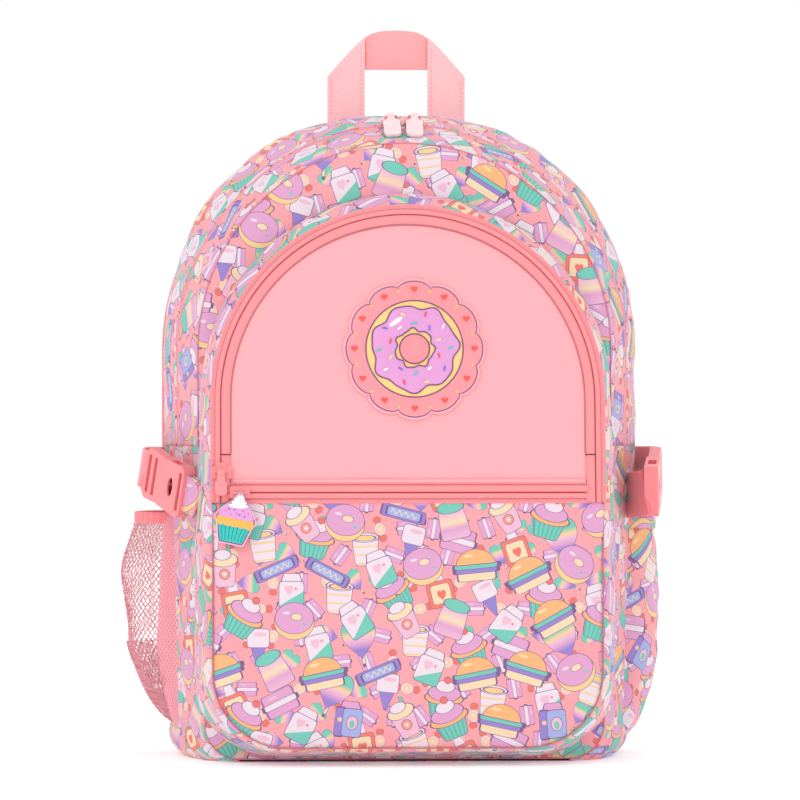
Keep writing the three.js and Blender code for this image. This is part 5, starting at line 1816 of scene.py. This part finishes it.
def strap_section(s):
    return lerp(29.2, 22.6, s), lerp(6, 10.6, s)


def strap_frame(side, s):
    """The strap's middle at s, the way across it and the way out of it, with its half width and thickness."""
    before, after = strap_centre(side, max(0, s - 0.01)), strap_centre(side, min(1, s + 0.01))
    t = (after - before).normalized()
    across = Vector((1, 0, 0))
    across = (across - t * across.dot(t)).normalized()
    normal = across.cross(t).normalized()
    if normal.y < 0:
        normal = -normal
    return strap_centre(side, s), across, normal, *strap_section(s)


def strap_pad(name, frames):
    """The padded strap: printed cloth outside, air mesh on the side that lies on the wearer."""
    along, around = len(frames) - 1, 40
    verts, uvs = [], []
    for i, (p, across, normal, half, thick) in enumerate(frames):
        to_end = min(i, along - i) / along
        end = math.sqrt(max(0.0, 1 - (1 - to_end / 0.03) ** 2)) if to_end < 0.03 else 1.0
        for c, q in circle(1.0, around):
            a = math.copysign(abs(c) ** 0.55, c) * half
            b = math.copysign(abs(q) ** 0.75, q) * thick / 2 * (0.35 + 0.65 * end)
            b *= 1 + 0.04 * ripple(p.x, a, p.z, 26, 2)
            verts.append(p + across * a + normal * b)
            uvs.append(((p.x + across.x * a) * MM, p.z * MM))
    faces = wall_faces(along + 1, around)
    faces.append(tuple(range(around))[::-1])
    faces.append(tuple(range(along * around, (along + 1) * around)))
    pad = make(f"strap_pad_{name}", verts, faces, uvs, printed)
    pad.data.materials.append(air_mesh)
    for i in range(along):
        for k in range(around // 2, around):
            pad.data.polygons[i * around + k].material_index = 1
    fix_normals(pad)
    shown(pad, f"shoulder_strap_{name}", "air_mesh_pad", f"shoulder_strap_{name}")


def on_back(a, b, out):
    return Vector((a, BACK_FACE + out, b))


def shoulder_straps():
    for name, side in (("left", -1), ("right", 1)):
        body = f"shoulder_strap_{name}"
        frames = [strap_frame(side, i / STRAP_STEPS) for i in range(STRAP_STEPS + 1)]
        strap_pad(name, frames)
        edges, rows = [], []
        for hand in (-1, 1):
            line = [(p + a * hand * (half - 0.4), n, a * hand) for p, a, n, half, _ in frames[2:-2]]
            edges.append(sweep(f"edge_{hand}", line, band(4.6, 2.0, 0.5), binding_web))
            row = []
            for p, a, n, half, thick in frames[4:-4]:
                row.append(p + a * hand * (half - 3.4) + n * (thick / 2 * 0.74))
            rows.append(stitches(f"strap_row_{hand}", row, [f[2] for f in frames[4:-4]], thread))
        edge = join(f"strap_binding_{name}", edges)
        shown(edge, body, "webbing")
        row = join(f"strap_stitching_{name}", rows)
        shown(row, body, "webbing")

        x = side * STRAP_END_X
        end = [(x, 99, 144), (x, 99.2, 134), (x, 99.4, 127.5), (x, 98.2, 124.4)]
        loop_ = webbing(f"strap_loop_{name}", end, (1, 0, 0), strap_web, 25, 1.8)
        shown(loop_, body, "webbing", f"strap_end_webbing_{name}")
        moulding(f"ladder_lock_{name}", f"ladder_lock_{name}", "moulded_plastic", plastic, 0.5)
        hang = ((101.4, 116), (102.6, 104), (102.4, 80), (103.2, 56), (102.2, 36), (102.6, 32))
        tail = webbing(f"tail_{name}", [(x, y, z) for y, z in hang], (1, 0, 0), strap_web, 25, 1.7)
        hem = webbing(f"tail_hem_{name}", [(x, 104.0, 46), (x, 103.6, 33)], (1, 0, 0), strap_web, 25, 1.5)
        tail = join(f"webbing_tail_cloth_{name}", [tail, hem])
        shown(tail, f"ladder_lock_{name}", "webbing", f"webbing_tail_{name}")
        route = ((126, 85.7, 24), (123, 89.1, 46), (114, 91.1, 74), (106, 97.5, 93), (106, 98.8, 102))
        low = [Vector((side * a, b, c)) for a, b, c in route]
        low_strap = webbing(f"lower_strap_{name}", low, (1, 0, 0.25 * side), strap_web, 25, 1.8)
        apply_modifiers(low_strap)
        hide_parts(f"lower_webbing_{name}")
        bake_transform(low_strap)
        corners = [(147, 30), (112, 18), (110, 34), (138, 58), (148, 54)]
        corners = [(side * a, b) for a, b in corners]
        wing = relief(f"wing_{name}", corners, 0.0, 2.2, on_back, printed)
        shown(wing, "root", "printed_fabric", f"strap_wing_{name}")


CUSHION = 7.6  # how far the back's cushions stand out


def cushion(name, outline, quilts):
    """A padded block against the back: flat behind, domed in front, with stitched channels."""
    count = 160

    def at(x, z, inset):
        h = CUSHION * (1 - math.exp(-inset / 5.0))
        for q in quilts:
            h -= CUSHION * 0.42 * math.exp(-(((z - q) / 3.2) ** 2)) * (1 - math.exp(-inset / 6.0))
        return Vector((x, BACK_FACE + 0.3 + h + 0.25 * ripple(x, 0, z, 22, 6), z))

    obj = panel(name, outline, count, rings(outline, 5), at, air_mesh, flip=True)
    bm = bmesh.new()
    bm.from_mesh(obj.data)
    bm.verts.ensure_lookup_table()
    bm.faces.new([bm.verts[i] for i in range(count)])
    bm.to_mesh(obj.data)
    bm.free()
    fix_normals(obj)
    return obj


def back():
    half = REAR_R + 2.2
    sheet = Outline(-half, half, 2.2, ARCH_Z + half, 24, half - 0.1)

    def back_at(x, z, inset):
        x *= 1 - taper(z) / REAR_R
        return Vector((x, BACK_OUT - 0.4 * math.exp(-inset / 3.0), z))

    obj = panel("back_cloth", sheet, 200, rings(sheet, 7), back_at, back_cloth, flip=True)
    thicken(obj, 1.5, -1)
    shown(obj, "root", "air_mesh_pad", "back_panel")
    quilts = (170, 230, 290)
    pads = (
        ("left", Outline(-112, -10, 108, 350, 24, 24), quilts),
        ("right", Outline(10, 112, 108, 350, 24, 24), quilts),
        ("lumbar", Outline(-95, 95, 34, 98, 24, 24), ()),
    )
    for name, outline, channels in pads:
        pad = cushion(f"back_cushion_{name}", outline, channels)
        shown(pad, "root", "air_mesh_pad", f"back_pad_{name}")
    edge = REAR_R + 2.6
    piping = Outline(-edge, edge, 2.0, ARCH_Z + edge, 24.6, edge - 0.1).loop(260)
    centre = Vector((0, 0, 190))
    stations = []
    for i, (x, z) in enumerate(piping):
        before, after = piping[i - 1], piping[(i + 1) % len(piping)]
        t = Vector((after[0] - before[0], 0, after[1] - before[1])).normalized()
        out = t.cross(Vector((0, 1, 0))).normalized()
        if out.dot(Vector((x, 0, z)) - centre) < 0:
            out = -out
        x *= 1 - taper(z) / 155
        stations.append((Vector((x, 80.4, max(2.1, z))), out, Vector((0, 1, 0))))
    obj = sweep("rear_edge_piping", stations, circle(2.0, 12), binding_web, closed=True)
    shown(obj, "root", "webbing", "rear_piping")
    yoke = [(-74, 358), (74, 358), (58, 404), (-58, 404)]
    obj = relief("yoke", yoke, 0.0, 2.2, on_back, printed)
    shown(obj, "root", "printed_fabric", "shoulder_yoke")
    rows = []
    for z in (361, 401):
        end = lerp(74, 58, (z - 358) / 46) - 3
        line = [Vector((x, 83.5, z)) for x in (-end, end)]
        rows.append(stitches(f"yoke_row_{z}", line, (0, 1, 0), thread))
    rows = join("yoke_stitching", rows)
    shown(rows, "root", "webbing")


# ---------------------------------------------------------------- camera and light
CAMERA_FAR = 3.2
CAMERA_TURN = math.radians(2.9)
AIM_X, AIM_Z = -0.0013, 0.2334
PICTURE = 800  # pixels across
MM_PER_PIXEL = 0.653
SENSOR = 36
FLOOR, FLOOR_Z = 4000, -0.4


def photograph():
    scene = bpy.context.scene
    camera = bpy.data.cameras.new("camera")
    camera.sensor_width = SENSOR
    camera.lens = SENSOR * CAMERA_FAR / (PICTURE * MM_PER_PIXEL * MM)
    camera.clip_end = 50
    camera.dof.use_dof = False
    obj = bpy.data.objects.new("camera", camera)
    scene.collection.objects.link(obj)
    obj.location = (-math.tan(CAMERA_TURN) * CAMERA_FAR, -CAMERA_FAR, AIM_Z)
    aim = Vector((AIM_X, 0.0, AIM_Z)) - Vector(obj.location)
    obj.rotation_euler = aim.to_track_quat("-Z", "Y").to_euler()
    scene.camera = obj
    # Printed cloth of the top between two seams, at y0 and y1.
    scene.view_settings.view_transform = "Standard"
    world = bpy.data.worlds.new("surround")
    scene.world = world
    world.use_nodes = True
    background = world.node_tree.nodes["Background"]
    background.inputs[0].default_value = (1.0, 1.0, 1.0, 1.0)
    background.inputs[1].default_value = 1.0

    def lamp(name, at, size, watts, target=(0, 0, 0.22)):
        data = bpy.data.lights.new(name, "AREA")
        data.size = size
        data.energy = watts
        light = bpy.data.objects.new(name, data)
        scene.collection.objects.link(light)
        light.location = at
        direction = Vector(target) - Vector(at)
        light.rotation_euler = direction.to_track_quat("-Z", "Y").to_euler()

    lamp("key", (-0.9, -1.6, 1.2), 0.9, 4.6)
    lamp("fill", (1.2, -1.6, 0.6), 1.2, 1.2)
    lamp("top", (0.1, 0.1, 1.9), 0.8, 1.6)

    corners = ((-1, -1), (1, -1), (1, 1), (-1, 1))
    floor = make("floor", [(FLOOR * a, FLOOR * b, FLOOR_Z) for a, b in corners], [(0, 1, 2, 3)])
    paper, _, shader = new_material("white_paper")
    white = (1.0, 1.0, 1.0, 1.0)
    set_values(shader, Base_Color=white, Roughness=0.9, Emission_Color=white, Emission_Strength=0.2)
    floor.data.materials.append(paper)


main_compartment()
main_zip()
front_pocket()
pocket_zips()
flap()
badge()
charm()
pocket_sliders()
carry_handle()
mesh_side_pocket()
fabric_side_pocket()
side_clips()
back()
shoulder_straps()
photograph()
